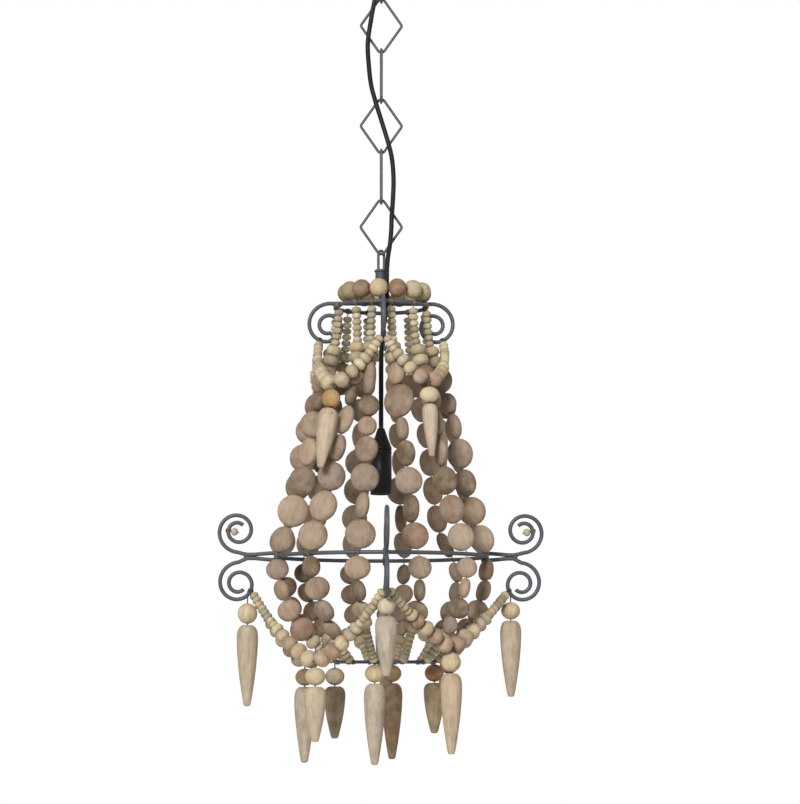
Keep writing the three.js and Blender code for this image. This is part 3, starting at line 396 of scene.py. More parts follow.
grey_paint = speckled_finish("grey_paint", "505358", 700.0, 0.9, 0.2, 0.25, shine=0.3)
zinc_plate = speckled_finish("zinc_plate", "a3a5a8", 260.0, 0.7, 0.9, 0.1)
black_moulded = speckled_finish("black_moulded", "0a0a0a", 1500.0, 0.5, 0.0, 0.1, shine=0.25)
white_moulded = speckled_finish("white_moulded", "dedbd0", 1500.0, 0.2, 0.0, 0.1)
stamped_brass = speckled_finish("stamped_brass", "b89a55", 500.0, 0.5, 0.95, 0.05)


def spin_form(outline, centre, steps, closed=False):
    """A turned form about an upright axis, from outline points of radius and height."""
    form = bmesh.new()
    corners = [form.verts.new((centre[0] + r, centre[1], centre[2] + z)) for r, z in outline]
    pairs = list(zip(corners, corners[1:])) + ([(corners[-1], corners[0])] if closed else [])
    edges = [form.edges.new(pair) for pair in pairs]
    bmesh.ops.spin(
        form, geom=corners + edges, cent=centre, axis=(0, 0, 1), angle=tau, steps=steps, use_merge=True,
    )
    bmesh.ops.remove_doubles(form, verts=form.verts, dist=1e-6)
    bmesh.ops.recalc_face_normals(form, faces=form.faces)
    return form


def plain_mesh(name, form):
    """A form's mesh. The form is used up."""
    mesh = bpy.data.meshes.new(name)
    form.to_mesh(mesh)
    form.free()
    return mesh


def soft_mesh(name, form, bevel=0.0, angle=0.6):
    """Rounds the sharp edges of a form and makes it a smooth shaded mesh."""
    if bevel:
        sharp = [e for e in form.edges if e.is_manifold and e.calc_face_angle(0) > angle]
        bmesh.ops.bevel(
            form, geom=sharp, offset=bevel, offset_type="OFFSET", affect="EDGES",
            segments=2, profile=0.5, material=-1, clamp_overlap=True,
        )
    for face in form.faces:
        face.smooth = True
    return plain_mesh(name, form)


def formed_piece(name, form, finishes, bevel=0.0, angle=0.6):
    """A piece made of a form, whose mesh takes the piece's name."""
    return new_piece(name, soft_mesh(name, form, bevel, angle), finishes)


def spun_piece(
    name, outline, finish, steps, centre=(0, 0, 0), closed=False, bevel=0.0, angle=0.6,
):
    """A turned piece, spun from its outline about an upright axis."""
    form = spin_form(outline, centre, steps, closed)
    return formed_piece(name, form, [finish], bevel, angle)


def join_mesh(form, mesh, finish=0, matrix=None):
    """Adds a mesh to a form, with its faces in one of the piece's finishes."""
    old_faces, old_verts = len(form.faces), len(form.verts)
    form.from_mesh(mesh)
    form.faces.ensure_lookup_table()
    form.verts.ensure_lookup_table()
    for face in form.faces[old_faces:]:
        face.material_index = finish
        face.smooth = True
    added = form.verts[old_verts:]
    if matrix is not None:
        bmesh.ops.transform(form, matrix=matrix, verts=added)
    return added


CUP_RADIUS = 0.050
CUP_DEPTH = 0.034
CUP_WALL = 0.0016
CUP_CORNER = 0.012
CUP_HOLE = 0.0026


def cup_corner(radius, bottom):
    """The rounded lower edge of the cup, from the flat bottom up to the side."""
    turns = [step / 8 * pi / 2 for step in range(9)]
    return [
        (CUP_RADIUS - CUP_CORNER + radius * sin(turn), bottom + radius * (1 - cos(turn)))
        for turn in turns
    ]


cup_outline = [
    (CUP_HOLE, -CUP_DEPTH), *cup_corner(CUP_CORNER, -CUP_DEPTH),
    (CUP_RADIUS, -0.0012), (CUP_RADIUS - 0.0004, -0.0004), (CUP_RADIUS - CUP_WALL, -0.0004),
    *reversed(cup_corner(CUP_CORNER - CUP_WALL, -CUP_DEPTH + CUP_WALL)),
    (CUP_HOLE, -CUP_DEPTH + CUP_WALL),
]
cup = spun_piece(
    "ceiling_cup", cup_outline, grey_paint, 64, closed=True, bevel=0.0005
)
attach(cup, "ceiling_fitting")
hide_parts("canopy")

GRIP_PLACE = (-0.004, -0.016, 0)
grip_outline = [(0.0028, -0.0523), (0.0042, -0.0523)]
for step in range(7):
    share = step / 6
    grip_outline.append((0.0044 + 0.0021 * share, -0.0515 + 0.0115 * share))
    grip_outline.append((0.0046 + 0.0021 * share, -0.0510 + 0.0115 * share))
grip_outline += [
    (0.0078, -0.0391), (0.0080, -0.0386), (0.0080, -0.0345), (0.0065, -0.0343), (0.0065, -0.0308),
    (0.0034, -0.0308), (0.0028, -0.0345),
]
grip = spun_piece(
    "cord_gland", grip_outline, black_moulded, 32, GRIP_PLACE, True, 0.0003
)
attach(grip, "ceiling_fitting")
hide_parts("cord_grip")

HOOK_WIRE = 0.004
HOOK_BEND = 0.008
NUT_RADIUS = 0.0040
NUT_HEIGHT = 0.0028
NUT_TOPS = [-0.0088, -0.0347]
hook_centre = seat_heights["bar_1"] + HOOK_BEND
hook_path = [Vector((0, 0, -0.0035)), Vector((0, 0, hook_centre + 0.0125))]
hook_path += [Vector((0.0003, 0, hook_centre + 0.0112)), Vector((0.0018, 0, hook_centre + 0.0090))]
for step in range(31):
    turn = radians(54 - 264 * step / 30)
    hook_path.append(Vector((HOOK_BEND * cos(turn), 0, hook_centre + HOOK_BEND * sin(turn))))
hook_form = bmesh.new()
join_mesh(hook_form, wire_mesh("hook", [hook_path], HOOK_WIRE / 2, 6))
for nut_top in NUT_TOPS:
    nut = bmesh.ops.create_cone(
        hook_form, cap_ends=True, segments=6, radius1=NUT_RADIUS, radius2=NUT_RADIUS,
        depth=NUT_HEIGHT, matrix=Matrix.Translation((0, 0, nut_top - NUT_HEIGHT / 2)),
    )
    nut_edges = list({edge for corner in nut["verts"] for edge in corner.link_edges})
    bmesh.ops.bevel(
        hook_form, geom=nut_edges, offset=0.0003, offset_type="OFFSET", affect="EDGES",
        segments=2, profile=0.5, material=-1,
    )
hook = formed_piece("ceiling_hook", hook_form, [grey_paint])
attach(hook, "ceiling_fitting")
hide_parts("canopy_hook")

for side, node in ((-1, "plate_screw_left"), (1, "plate_screw_right")):
    low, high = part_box(node)
    centre = ((low.x + high.x) / 2, 0, 0)
    screw_outline = [
        (0, -0.0047), (0.0008, -0.0047), (0.0010, -0.0055), (0.0022, -0.0057), (0.0033, -0.0051),
        (0.0038, -0.0042), (0.0038, -0.0033), (0.0020, -0.0033), (0.0020, 0), (0, 0),
    ]
    screw = new_piece(
        f"screw_{node[12:]}", soft_mesh(node, spin_form(screw_outline, centre, 24), 0.0001),
        [zinc_plate],
    )
    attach(screw, "ceiling_fitting")
    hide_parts(node)

block_low, block_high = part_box("terminal_block")
block_form = bmesh.new()
block_way = (block_high.x - block_low.x) / 3
for way in range(3):
    left = block_low.x + way * block_way
    centre = Vector((left + block_way / 2, 0, (block_low.z + block_high.z) / 2))
    for width, height, offset in ((0.94, 0.72, 0.14), (0.72, 1.0, 0.0)):
        size = (
            block_way * width, (block_high.y - block_low.y) * (1 if width > 0.8 else 0.5),
            (block_high.z - block_low.z) * height,
        )
        lift = (block_high.z - block_low.z) * offset
        bmesh.ops.create_cube(
            block_form, size=1,
            matrix=Matrix.Translation(centre + Vector((0, 0, lift))) @ Matrix.Diagonal((*size, 1)),
        )
block = formed_piece("wire_block", block_form, [white_moulded], 0.0005)
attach(block, "ceiling_fitting")
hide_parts("terminal_block")

# The steel strip keeps its shape from the CAD and only takes its finish.
strip = frame["nodes"]["ceiling_plate"]
strip.data.materials.clear()
strip.data.materials.append(zinc_plate)

# Chain
# Narrow bar links and diamond links in turn, bent from 3 mm steel wire and painted grey.
# Each link's ends are butted and welded at the middle of one side.

LINK_WIRE = 0.003
LINK_LENGTH = 0.063
BUTT_WELD_SHARE = 1.12
BAR_WIDTH = 0.016
DIAMOND_WIDTH = 0.048
DIAMOND_TIP = 0.0045
DIAMOND_SIDE = 0.003


def arc_path(centre, radius, start, end, steps):
    """Places along an arc in the upright plane through the axis."""
    return [
        Vector((
            centre[0] + radius * cos(start + (end - start) * k / steps), 0,
            centre[1] + radius * sin(start + (end - start) * k / steps),
        ))
        for k in range(steps + 1)
    ]


def bar_outline():
    half = (LINK_LENGTH - LINK_WIRE) / 2
    bend = (BAR_WIDTH - LINK_WIRE) / 2
    return [
        *arc_path((0, half - bend), bend, 0, pi, 16),
        *arc_path((0, bend - half), bend, pi, tau, 16),
    ]


def diamond_outline():
    half = (LINK_LENGTH - LINK_WIRE) / 2
    side = (DIAMOND_WIDTH - LINK_WIRE) / 2 - DIAMOND_SIDE
    tip = half - DIAMOND_TIP
    square = atan2(side, tip) + asin((DIAMOND_SIDE - DIAMOND_TIP) / hypot(side, tip))
    return [
        *arc_path((side, 0), DIAMOND_SIDE, -square, square, 8),
        *arc_path((0, tip), DIAMOND_TIP, square, pi - square, 10),
        *arc_path((-side, 0), DIAMOND_SIDE, pi - square, pi + square, 8),
        *arc_path((0, -tip), DIAMOND_TIP, pi + square, tau - square, 10),
    ]


def evened(path, spacing, closed=False):
    """The same path with places a set distance apart, so that a form on it is even."""
    spots = path + [path[0]] if closed else path
    result = []
    for start, end in zip(spots, spots[1:]):
        count = max(1, round((end - start).length / spacing))
        result += [start.lerp(end, k / count) for k in range(count)]
    return result if closed else result + [spots[-1]]


def chain_link(name, node, body, outline, turn):
    low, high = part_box(node)
    place = Matrix.Translation((0, 0, (low.z + high.z) / 2)) @ Matrix.Rotation(turn, 4, "Z")
    form = bmesh.new()
    loop = wire_mesh(name, [evened(outline, 0.004, True)], LINK_WIRE / 2, 5, True)
    join_mesh(form, loop)
    flat_side = outline[-1].lerp(outline[0], 0.5)
    along = (outline[0] - outline[-1]).normalized()
    weld = Matrix.Translation(flat_side) @ along.to_track_quat("Z", "Y").to_matrix().to_4x4()
    bmesh.ops.create_uvsphere(
        form, u_segments=14, v_segments=8, radius=LINK_WIRE / 2 * BUTT_WELD_SHARE,
        matrix=weld @ Matrix.Diagonal((1, 1, 0.8, 1)),
    )
    bmesh.ops.transform(form, matrix=place, verts=form.verts)
    link = formed_piece(name, form, [grey_paint])
    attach(link, body)
    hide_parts(node)


for number in (1, 2, 3):
    chain_link(f"bar_{number}_wire", f"bar_link_{number}", f"bar_{number}", bar_outline(), pi / 2)
    chain_link(
        f"diamond_{number}_wire", f"diamond_link_{number}", f"diamond_{number}", diamond_outline(), 0
    )

# Hanger
# A small wire eye is welded to a turned collar, and a rod runs from it down to the cross
# of the top ring. All of it is steel in the same grey paint.

EYE_WIRE = 0.003
EYE_BEND = 0.00575
EYE_TURN = radians(90 - 35)
COLLAR_RADIUS = 0.0065
COLLAR_HEIGHT = 0.011
ROD_RADIUS = 0.0025
eye_low, eye_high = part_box("hanger_eye")
eye_top = eye_high.z - EYE_WIRE / 2
collar_top = eye_low.z + 0.0355
eye_path = [
    Vector((EYE_BEND, 0, collar_top - 0.001)),
    *arc_path((0, eye_top - EYE_BEND), EYE_BEND, 0, pi, 16),
    Vector((-EYE_BEND, 0, collar_top - 0.001)),
]
collar_outline = [
    (0, collar_top), (COLLAR_RADIUS, collar_top), (COLLAR_RADIUS + 0.0012, collar_top - 0.0010),
    (COLLAR_RADIUS + 0.0012, collar_top - 0.0022), (COLLAR_RADIUS, collar_top - 0.0034),
    (COLLAR_RADIUS, collar_top - COLLAR_HEIGHT + 0.001),
    (COLLAR_RADIUS - 0.001, collar_top - COLLAR_HEIGHT), (ROD_RADIUS, collar_top - COLLAR_HEIGHT),
    (ROD_RADIUS, eye_low.z), (0, eye_low.z),
]
hanger_form = spin_form(collar_outline, (0, 0, 0), 32)
join_mesh(hanger_form, wire_mesh("eye", [evened(eye_path, 0.003)], EYE_WIRE / 2, 5))
bmesh.ops.transform(hanger_form, matrix=Matrix.Rotation(EYE_TURN, 4, "Z"), verts=hanger_form.verts)
hanger = formed_piece("hanger", hanger_form, [grey_paint], 0.0003, 0.7)
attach(hanger, "chandelier")
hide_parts("hanger_eye")

# Top ring with its scrolls
# A wire ring with two wires crossed and welded on top of it. Each wire's ends are rolled
# into a scroll. The crown of beads rests on the cross.

top_low, top_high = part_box("top_frame")
FRAME_WIRE = 0.0044
WELD_DEPTH = 0.0008
TOP_WELD = 0.0028
BRACKET_WELD = 0.0027
TOP_RING_RADIUS = 0.0505
RING_RADIUS = 0.1145
cross_z = eye_low.z - 0.0003 - FRAME_WIRE / 2
top_ring_z = cross_z - FRAME_WIRE + WELD_DEPTH
TOP_SCROLL = {
    "centre": 0.0582, "height": cross_z - 0.025, "start": 0.025, "end": 0.0077, "turns": 1.57,
    "way": 1,
}
SIDE_DEGREES = [0, 90, 175.7, 270]


def polar(radius, azimuth, z):
    """Azimuth 0 is the front, and it grows towards the right."""
    return Vector((radius * sin(azimuth), -radius * cos(azimuth), z))


def side_azimuth(quarter):
    """Front, right, back and left. The back stands a few degrees aside, behind the front."""
    return radians(SIDE_DEGREES[quarter % 4]) + (tau if quarter > 3 else 0)


def scroll_place(scroll, degrees, offset=0.0):
    share = degrees / 360 / scroll["turns"]
    radius = scroll["start"] * (scroll["end"] / scroll["start"]) ** share + offset
    turn = radians(degrees)
    return (
        scroll["centre"] + radius * sin(turn), scroll["height"] + scroll["way"] * radius * cos(turn),
    )


def scroll_path(scroll, azimuth, steps=72):
    places = (scroll_place(scroll, 360 * scroll["turns"] * k / steps) for k in range(steps + 1))
    return [polar(radius, azimuth, z) for radius, z in places]


def circle_path(radius, z, steps=96, shift=0.0):
    return [polar(radius, tau * k / steps, z) + Vector((shift, 0, 0)) for k in range(steps)]


def weld_spots(form, places, size):
    """Low beads of weld where two wires meet."""
    for place in places:
        bmesh.ops.create_uvsphere(
            form, u_segments=12, v_segments=8, radius=size,
            matrix=Matrix.Translation(place) @ Matrix.Diagonal((1, 1, 0.75, 1)),
        )


arm_paths = []
for quarter in (0, 1):
    back, front = (scroll_path(TOP_SCROLL, side_azimuth(side)) for side in (quarter + 2, quarter))
    cross = Vector((0, 0, cross_z))
    inward = [back[0].lerp(cross, k / 6) for k in range(1, 7)]
    outward = [cross.lerp(front[0], k / 6) for k in range(1, 6)]
    arm_paths.append([*reversed(back), *inward, *outward, *front])
top_form = bmesh.new()
join_mesh(top_form, wire_mesh("arms", arm_paths, FRAME_WIRE / 2, 5))
top_circle = circle_path(TOP_RING_RADIUS, top_ring_z)
join_mesh(top_form, wire_mesh("top_ring", [top_circle], FRAME_WIRE / 2, 5, True))
crossings = [polar(TOP_RING_RADIUS, side_azimuth(k), (cross_z + top_ring_z) / 2) for k in range(4)]
weld_spots(top_form, [*crossings, Vector((0, 0, cross_z))], TOP_WELD)
top_frame = formed_piece("top_ring_frame", top_form, [grey_paint])
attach(top_frame, "chandelier")
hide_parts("top_frame")

# Large ring with its brackets
# The large ring carries four brackets. Each has a wire over and a wire under the ring,
# welded together further out and rolled into an upper and a lower scroll.

ring_z = top_ring_z - 0.2745
BRACKET_LIFT = 0.0278
BRACKET_JOIN = 0.145
UPPER_SCROLL = {
    "centre": 0.1559, "height": ring_z + BRACKET_LIFT, "start": 0.0234, "end": 0.0082, "turns": 1.62,
    "way": -1,
}
LOWER_SCROLL_INSETS = [0.002, 0.003, 0.002, 0.001]
LOWER_SCROLL_DROP = 0.0018


def lower_scroll(quarter):
    """The lower scrolls hang a little further in and lower, each bent by hand."""
    return {
        **UPPER_SCROLL, "centre": UPPER_SCROLL["centre"] - LOWER_SCROLL_INSETS[quarter % 4],
        "height": ring_z - BRACKET_LIFT - LOWER_SCROLL_DROP, "way": 1,
    }


bracket_paths = []
bracket_welds = []
for quarter in range(4):
    azimuth = side_azimuth(quarter)
    for scroll in (UPPER_SCROLL, lower_scroll(quarter)):
        ring_lift = FRAME_WIRE - WELD_DEPTH
        join_lift = FRAME_WIRE / 2 - WELD_DEPTH / 4
        lead = [
            (RING_RADIUS - 0.005, ring_lift), (RING_RADIUS + 0.005, ring_lift),
            ((RING_RADIUS + BRACKET_JOIN) / 2, (ring_lift + join_lift) / 2), (BRACKET_JOIN, join_lift),
        ]
        points = [polar(radius, azimuth, ring_z - scroll["way"] * lift) for radius, lift in lead]
        bracket_paths.append(smooth_path([*points, *scroll_path(scroll, azimuth, 60)], 2))
        bracket_welds.append(polar(RING_RADIUS, azimuth, ring_z - scroll["way"] * ring_lift / 2))
    bracket_welds.append(polar(BRACKET_JOIN + 0.002, azimuth, ring_z))
ring_form = bmesh.new()
join_mesh(ring_form, wire_mesh("brackets", bracket_paths, FRAME_WIRE / 2, 5))
join_mesh(
    ring_form, wire_mesh("large_ring", [circle_path(RING_RADIUS, ring_z, 160)], FRAME_WIRE / 2, 5, True)
)
weld_spots(ring_form, bracket_welds, BRACKET_WELD)
large_ring = formed_piece("large_ring_frame", ring_form, [grey_paint])
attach(large_ring, "chandelier")
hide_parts("lower_frame")

# Bottom ring
# A thinner wire ring, butted and welded, that gathers the lower ends of the strings.

BOTTOM_RING_RADIUS = 0.054
BOTTOM_RING_WIRE = 0.0035
BOTTOM_SHIFT = 0.004
bottom_z = ring_z - 0.1143
bottom_circle = circle_path(BOTTOM_RING_RADIUS, bottom_z, shift=BOTTOM_SHIFT)
bottom_form = bmesh.new()
join_mesh(bottom_form, wire_mesh("gather_ring", [bottom_circle], BOTTOM_RING_WIRE / 2, 5, True))
weld_spots(bottom_form, [bottom_circle[53]], BOTTOM_RING_WIRE / 2 * BUTT_WELD_SHARE)
bottom_ring = formed_piece("gather_ring", bottom_form, [grey_paint])
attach(bottom_ring, "chandelier")
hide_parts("bottom_ring")

# Crown of beads
# Thirteen turned wooden beads on a closed string that rests on the cross wires. They
# are of two kinds, pale and reddish brown, limed and rubbed back.

CROWN_BEAD = 0.0208
CROWN_THREAD = 0.0009
CROWN_RADIUS = 0.042
CROWN_SHIFT = Vector((0.004, 0, 0))
CROWN_START = radians(-25)
CROWN_COLOURS = [
    "c8b28a", "8f6a4e", "bdae88", "b3a780", "8a6f52", "a89470", "7d5b42", "a8946f", "8d6a4a",
    "9c8a66", "8a7a58", "93855f", "8f7459",
]

# Limed wood: streaks along the grain, dark pores, and pale lime left in the hollows.
limed, limed_in, limed_out = effect_group(
    "limed_wood",
    [("Vector", "NodeSocketVector", (0, 0, 0)), ("Wood", "NodeSocketColor", (0.3, 0.2, 0.1, 1)),
     ("Lime", "NodeSocketColor", (0.7, 0.65, 0.55, 1)), ("Cover", "NodeSocketFloat", 0.35),
     ("Grain", "NodeSocketFloat", 260.0)],
)
stretched = add_node(limed, "ShaderNodeMapping", [
    ("Vector", limed_in.outputs["Vector"]), ("Scale", (1.0, 1.0, 0.16)),
]).outputs[0]
streaks = noise(
    limed, stretched, limed_in.outputs["Grain"], 5.0, ("Roughness", 0.62), ("Distortion", 0.4),
)
patches = noise(limed, limed_in.outputs["Vector"], 90.0, 3.0)
pores = noise(limed, stretched, 1400.0, 2.0)
wood_shade = lightened(limed, limed_in.outputs["Wood"], ranged(limed, streaks, 0.3, 0.7, 0.68, 1.2))
lime_mask = ranged(limed, patches, 0.38, 0.72, 0.0, 1.0)
lime_cover = worked_out(limed, "MULTIPLY", lime_mask, limed_in.outputs["Cover"])
limed_colour = blended(limed, lime_cover, wood_shade, limed_in.outputs["Lime"])
pore_mask = ranged(limed, pores, 0.64, 0.74, 0.0, 0.55)
for name, result in (
    ("Color", blended(limed, pore_mask, limed_colour, linear("3d2c1e"))),
    ("Roughness", ranged(limed, streaks, 0.3, 0.7, 0.62, 0.82)),
    ("Height", worked_out(limed, "SUBTRACT", streaks, pore_mask)),
):
    limed.links.new(result, limed_out.inputs[name])


def wood_finish(name, lime, cover, grain, bump):
    """Wood in each piece's own shade, which the mesh carries as the attribute wood."""
    values = [("Lime", linear(lime)), ("Cover", cover), ("Grain", grain)]
    finish, tree, made = effect_finish(name, limed, values, 0.35, bump, 0.0006)
    shade = add_node(tree, "ShaderNodeVertexColor", layer_name="wood")
    along = add_node(tree, "ShaderNodeAttribute", attribute_name="grain")
    tree.links.new(along.outputs["Vector"], made.inputs["Vector"])
    tree.links.new(shade.outputs["Color"], made.inputs["Wood"])
    return finish


pale_wood = wood_finish("pale_limed_wood", "ddd0b4", 0.35, 240.0, 0.5)
brown_wood = wood_finish("brown_limed_wood", "b7a894", 0.40, 260.0, 0.6)
twine = speckled_finish("waxed_twine", "6e5c48", 1200.0, 0.8, 0.0, 0.5)


def turned_bead(name, profile, steps):
    """One bead of unit size on an upright string, spun from its outline."""
    return plain_mesh(name, spin_form(profile, (0, 0, 0), steps))


def round_profile(bands, hole):
    """A round bead's outline, with a small dimple where the string goes in."""
    first = asin(hole * 2)
    outline = [(0, -0.40), (hole, -cos(first) / 2)]
    for band in range(1, bands):
        turn = first + (pi - 2 * first) * band / bands
        outline.append((sin(turn) / 2, -cos(turn) / 2))
    return outline + [(hole, cos(first) / 2), (0, 0.40)]


tiny_bead = turned_bead("tiny_bead", [
    (0, -0.44), (0.10, -0.5), (0.34, -0.45), (0.47, -0.24), (0.5, 0), (0.47, 0.24), (0.34, 0.45),
    (0.10, 0.5), (0, 0.44),
], 10)
round_bead = turned_bead("round_bead", round_profile(10, 0.09), 20)


def shade_bead(form, places, colour, number, centre, axes):
    """Gives a bead its shade and its grain, which runs along its string."""
    wood = form.verts.layers.float_color["wood"]
    grain = form.verts.layers.float_vector["grain"]
    inverse = axes.transposed()
    shift = Vector((0.37 * number, 0.59 * number, 0.83 * number))
    for place in places:
        place[wood] = colour
        place[grain] = inverse @ (place.co - centre) + shift


def set_bead(form, bead, centre, along, across, size, colour, number):
    """Adds a bead at its place on the string. The size is width, depth and length."""
    z_axis = along.normalized()
    x_axis = (across - z_axis * across.dot(z_axis)).normalized()
    axes = Matrix((x_axis, z_axis.cross(x_axis), z_axis)).transposed()
    matrix = Matrix.Translation(centre) @ axes.to_4x4() @ Matrix.Diagonal((*size, 1))
    places = join_mesh(form, bead, 0, matrix)
    shade_bead(form, places, colour, number, centre, axes)


def varied(hex_colour, random, spread=0.1):
    """A bead's colour, a little lighter, darker, redder or greyer than its kind."""
    red, green, blue, _ = linear(hex_colour)
    light = 1 + random.uniform(-spread, spread)
    warm = 1 + random.uniform(-spread, spread) * 0.4
    return (red * light * warm, green * light, blue * light / warm, 1)


def wood_form():
    """An empty form that can hold each bead's shade and grain."""
    form = bmesh.new()
    form.verts.layers.float_color.new("wood")
    form.verts.layers.float_vector.new("grain")
    return form


def twine_form(paths, radius, closed=False):
    """Thread along the paths, as the first part of a string of beads."""
    form = wood_form()
    join_mesh(form, wire_mesh("twine", paths, radius, 1, closed), 1)
    return form


crown_low, crown_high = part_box("crown_beads")
crown_z = (crown_low.z + crown_high.z) / 2
crown_circle = circle_path(CROWN_RADIUS, crown_z, 78, CROWN_SHIFT.x)
crown_form = twine_form([crown_circle], CROWN_THREAD, True)
random = Random(3)
for number, colour in enumerate(CROWN_COLOURS):
    azimuth = CROWN_START + tau * (number + 0.5) / len(CROWN_COLOURS)
    centre = polar(CROWN_RADIUS, azimuth, crown_z) + CROWN_SHIFT
    along = Vector((cos(azimuth), sin(azimuth), 0))
    across = Vector((random.uniform(-0.1, 0.1), 0, 1))
    size = (CROWN_BEAD * 0.99, CROWN_BEAD * 0.99, CROWN_BEAD * 0.965)
    set_bead(crown_form, round_bead, centre, along, across, size, varied(colour, random, 0.05), number)
crown = formed_piece("crown_string", crown_form, [brown_wood, twine])
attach(crown, "chandelier")
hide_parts("crown_beads")

# Bead strings
# Twelve strings run from the top ring, outside the large ring, to the bottom ring. Each
# has tiny flattened beads, two small ones, and discs strung through their edges.

STRAND_COUNT = 12
TINY_BEAD = 0.0063
SMALL_BEAD = 0.011
COIN_BEAD = 0.029
COIN_THICKNESS = 0.014
LOWER_COIN_BEAD = 0.024
LOWER_COIN_THICKNESS = 0.013
TIE_LENGTH = 0.0034
PASS_LENGTH = 0.0074
SEAT_GAP = 0.0003
THREAD_RADIUS = 0.0008
TWINE_RADIUS = THREAD_RADIUS * 0.8
WRAP_LIFT = 0.0005
WRAP_PITCH = 0.0013
WRAP_TURNS = 3
CHORD_SHARE = 0.7
COIN_LENGTH_SHARE = 0.985
BEAD_LENGTH_SHARE = 0.99
CAGE_RADIUS_SHARES = [0.055, 0.16, 0.275, 0.41, 0.53, 0.65, 0.78, 0.91]
CAGE_HEIGHT_SHARES = [0.15, 0.24, 0.325, 0.42, 0.52, 0.69, 0.82, 0.92]
BASKET_RADIUS_SHARES = [-0.04, 0.03, 0.16, 0.42, 0.72]
BASKET_HEIGHT_SHARES = [0.14, 0.32, 0.52, 0.71, 0.885]
END_LIFT = 0.00378
TINY_WIDTH_SHARE = 1.6
CAGE_COIN_SHARES = [0.9, 0.92, 0.97, 1.02, 1.05, 1.04, 1]
BASKET_COIN_SHARES = [0.95, 0.96, 0.97, 0.92]
BASKET_WIDTH_SHARE = 1.08
ASIDE_DEGREES = {
    0: [-5, -4, -3, -2.5, -2.5, -1.5, 1, 1, 1.5, 2, 2.5, 3.5, 4, 4, 3],
    1: [-4, -3, -2, -1, 0, 0, -1, 1, 3, 3, 3.5, 4.5, 5, 4, 3],
    2: [0, 0, 0, 0, 0, 0, 0, 1, 2, 3, 4, 6, 7, 6, 4, 2],
    3: [0, 0, 0, 0, 0, 0, 0, -1, -2, -3, -4, -6, -7, -6, -4, -2],
    4: [6, 7, 7, 7, 6, 5, 4.5, 4.5, 4, 0, -1, -4, -5, -3, 0],
    8: [0, 0, 0, 0, 0, 0, 0, 0, 0, -1, -2, -7, -12, -12, -9, -6],
    9: [8, 7, 6, 5.5, 7.5, 9.5, 9, 3, 0, 0],
    10: [10, 14.5, 17, 18, 16, 13, 8.5, 5, 2.5, 1, 2, 4, 6, 7, 6, 4],
    11: [1.5, 1, 2, 2, 3, 2.5, 2.5, 1.5, 1.5, 1.5, 1, 0.5, 0.5, 1, 1.5],
}
FRONT_SIZE_SHARES = {
    0: [0.85, 1.25, 0.83, 0.94, 1.02, 1, 1],
    1: [0.83, 0.86, 0.93, 1.04, 1, 1.02, 1],
    2: [0.98, 0.77, 0.92, 1.1, 1, 1.04, 1.05],
    9: [0.9, 0.83, 1, 1.02, 1.06, 1.17, 0.97],
    10: [0.87, 0.75, 1.06, 0.98, 1.04, 1.11, 1.09],
    11: [1.28, 0.81, 0.72, 0.97, 1.06, 0.97, 1.13],
}
FRONT_BASKET_SHARES = {
    0: [1.02, 0.96, 0.97],
    1: [0.95, 0.94, 0.97, 0.82],
    2: [0.95, 0.95, 0.96, 0.9],
    9: [0.97, 0.97, 1.01, 1.08],
    10: [0.95, 1.05, 1.06, 0.95],
    11: [1.08, 0.98, 0.86],
}
FRONT_TURN_SHARES = {
    0: [0.6, 0.35, 0.95, 0.6, 0, 0.75, 0, 0.3, 0.9, 0.2, 0.4, 0.3],
    1: [0.3, 0.5, 0.9, 0.85, 0.3, 0.35, 0.15, 0.4, 1, 0.3, 0.6, 0.5],
    2: [0.3, 0.5, 0.85, 0.4, 0.5, 0.05, 0.45, 0.9, 0.8, 0.2, 0.4, 0.3],
    9: [0.1, 0.9, 0.05, 0.6, 0.15, 0, 0.35, 0.1, 0.7, 0.1, 0.1, 0.5],
    10: [0.5, 0.95, 0.7, 0.75, 0, 0.3, 0.05, 0.5, 0, 0.6, 0.6, 0.5],
    11: [0.95, 0.1, 0.1, 0.4, 0, 0.9, 0, 0, 0.75, 0.3, 0.4, 0.2],
}
COIN_COLOURS = ["8e7a66", "977f68", "a08972", "7d6a56", "69563f", "917c6c", "8a6a54", "a89078"]
TINY_COLOURS = ["bdae8c", "b0a486", "c9bb98", "a3977b", "b8a07c"]


def coin_profile(bands):
    """Half the outline of a disc with a full round edge and nearly flat faces."""
    outline = []
    for band in range(bands + 1):
        turn = -pi / 2 + pi * band / bands
        side = 1 if turn > 0 else -1
        outline.append((abs(cos(turn)) ** 0.9 / 2, abs(sin(turn)) ** 0.85 * side / 2))
    outline[0] = (0, outline[0][1])
    outline[-1] = (0, outline[-1][1])
    return outline


coin_bead = turned_bead("coin_bead", coin_profile(10), 22)
coin_bead.transform(Matrix.Rotation(pi / 2, 4, "X"))


def scatter(seed):
    """A number from 0 to 1 that looks random and is the same each time."""
    value = sin(seed * 12.9898) * 43758.5453
    return value - (value // 1)


def strand_azimuth(strand):
    return (strand + 0.5) * tau / STRAND_COUNT


def coin_turn(strand, index):
    """How far a disc is turned about its string, as in the photo or else scattered."""
    if strand in FRONT_TURN_SHARES:
        return strand_azimuth(strand) + pi / 2 * FRONT_TURN_SHARES[strand][index]
    most = 0.25 if strand % 3 == 1 and index < 5 else 1
    return pi / 2 * most * scatter(17 * strand + 3 * index + 1)


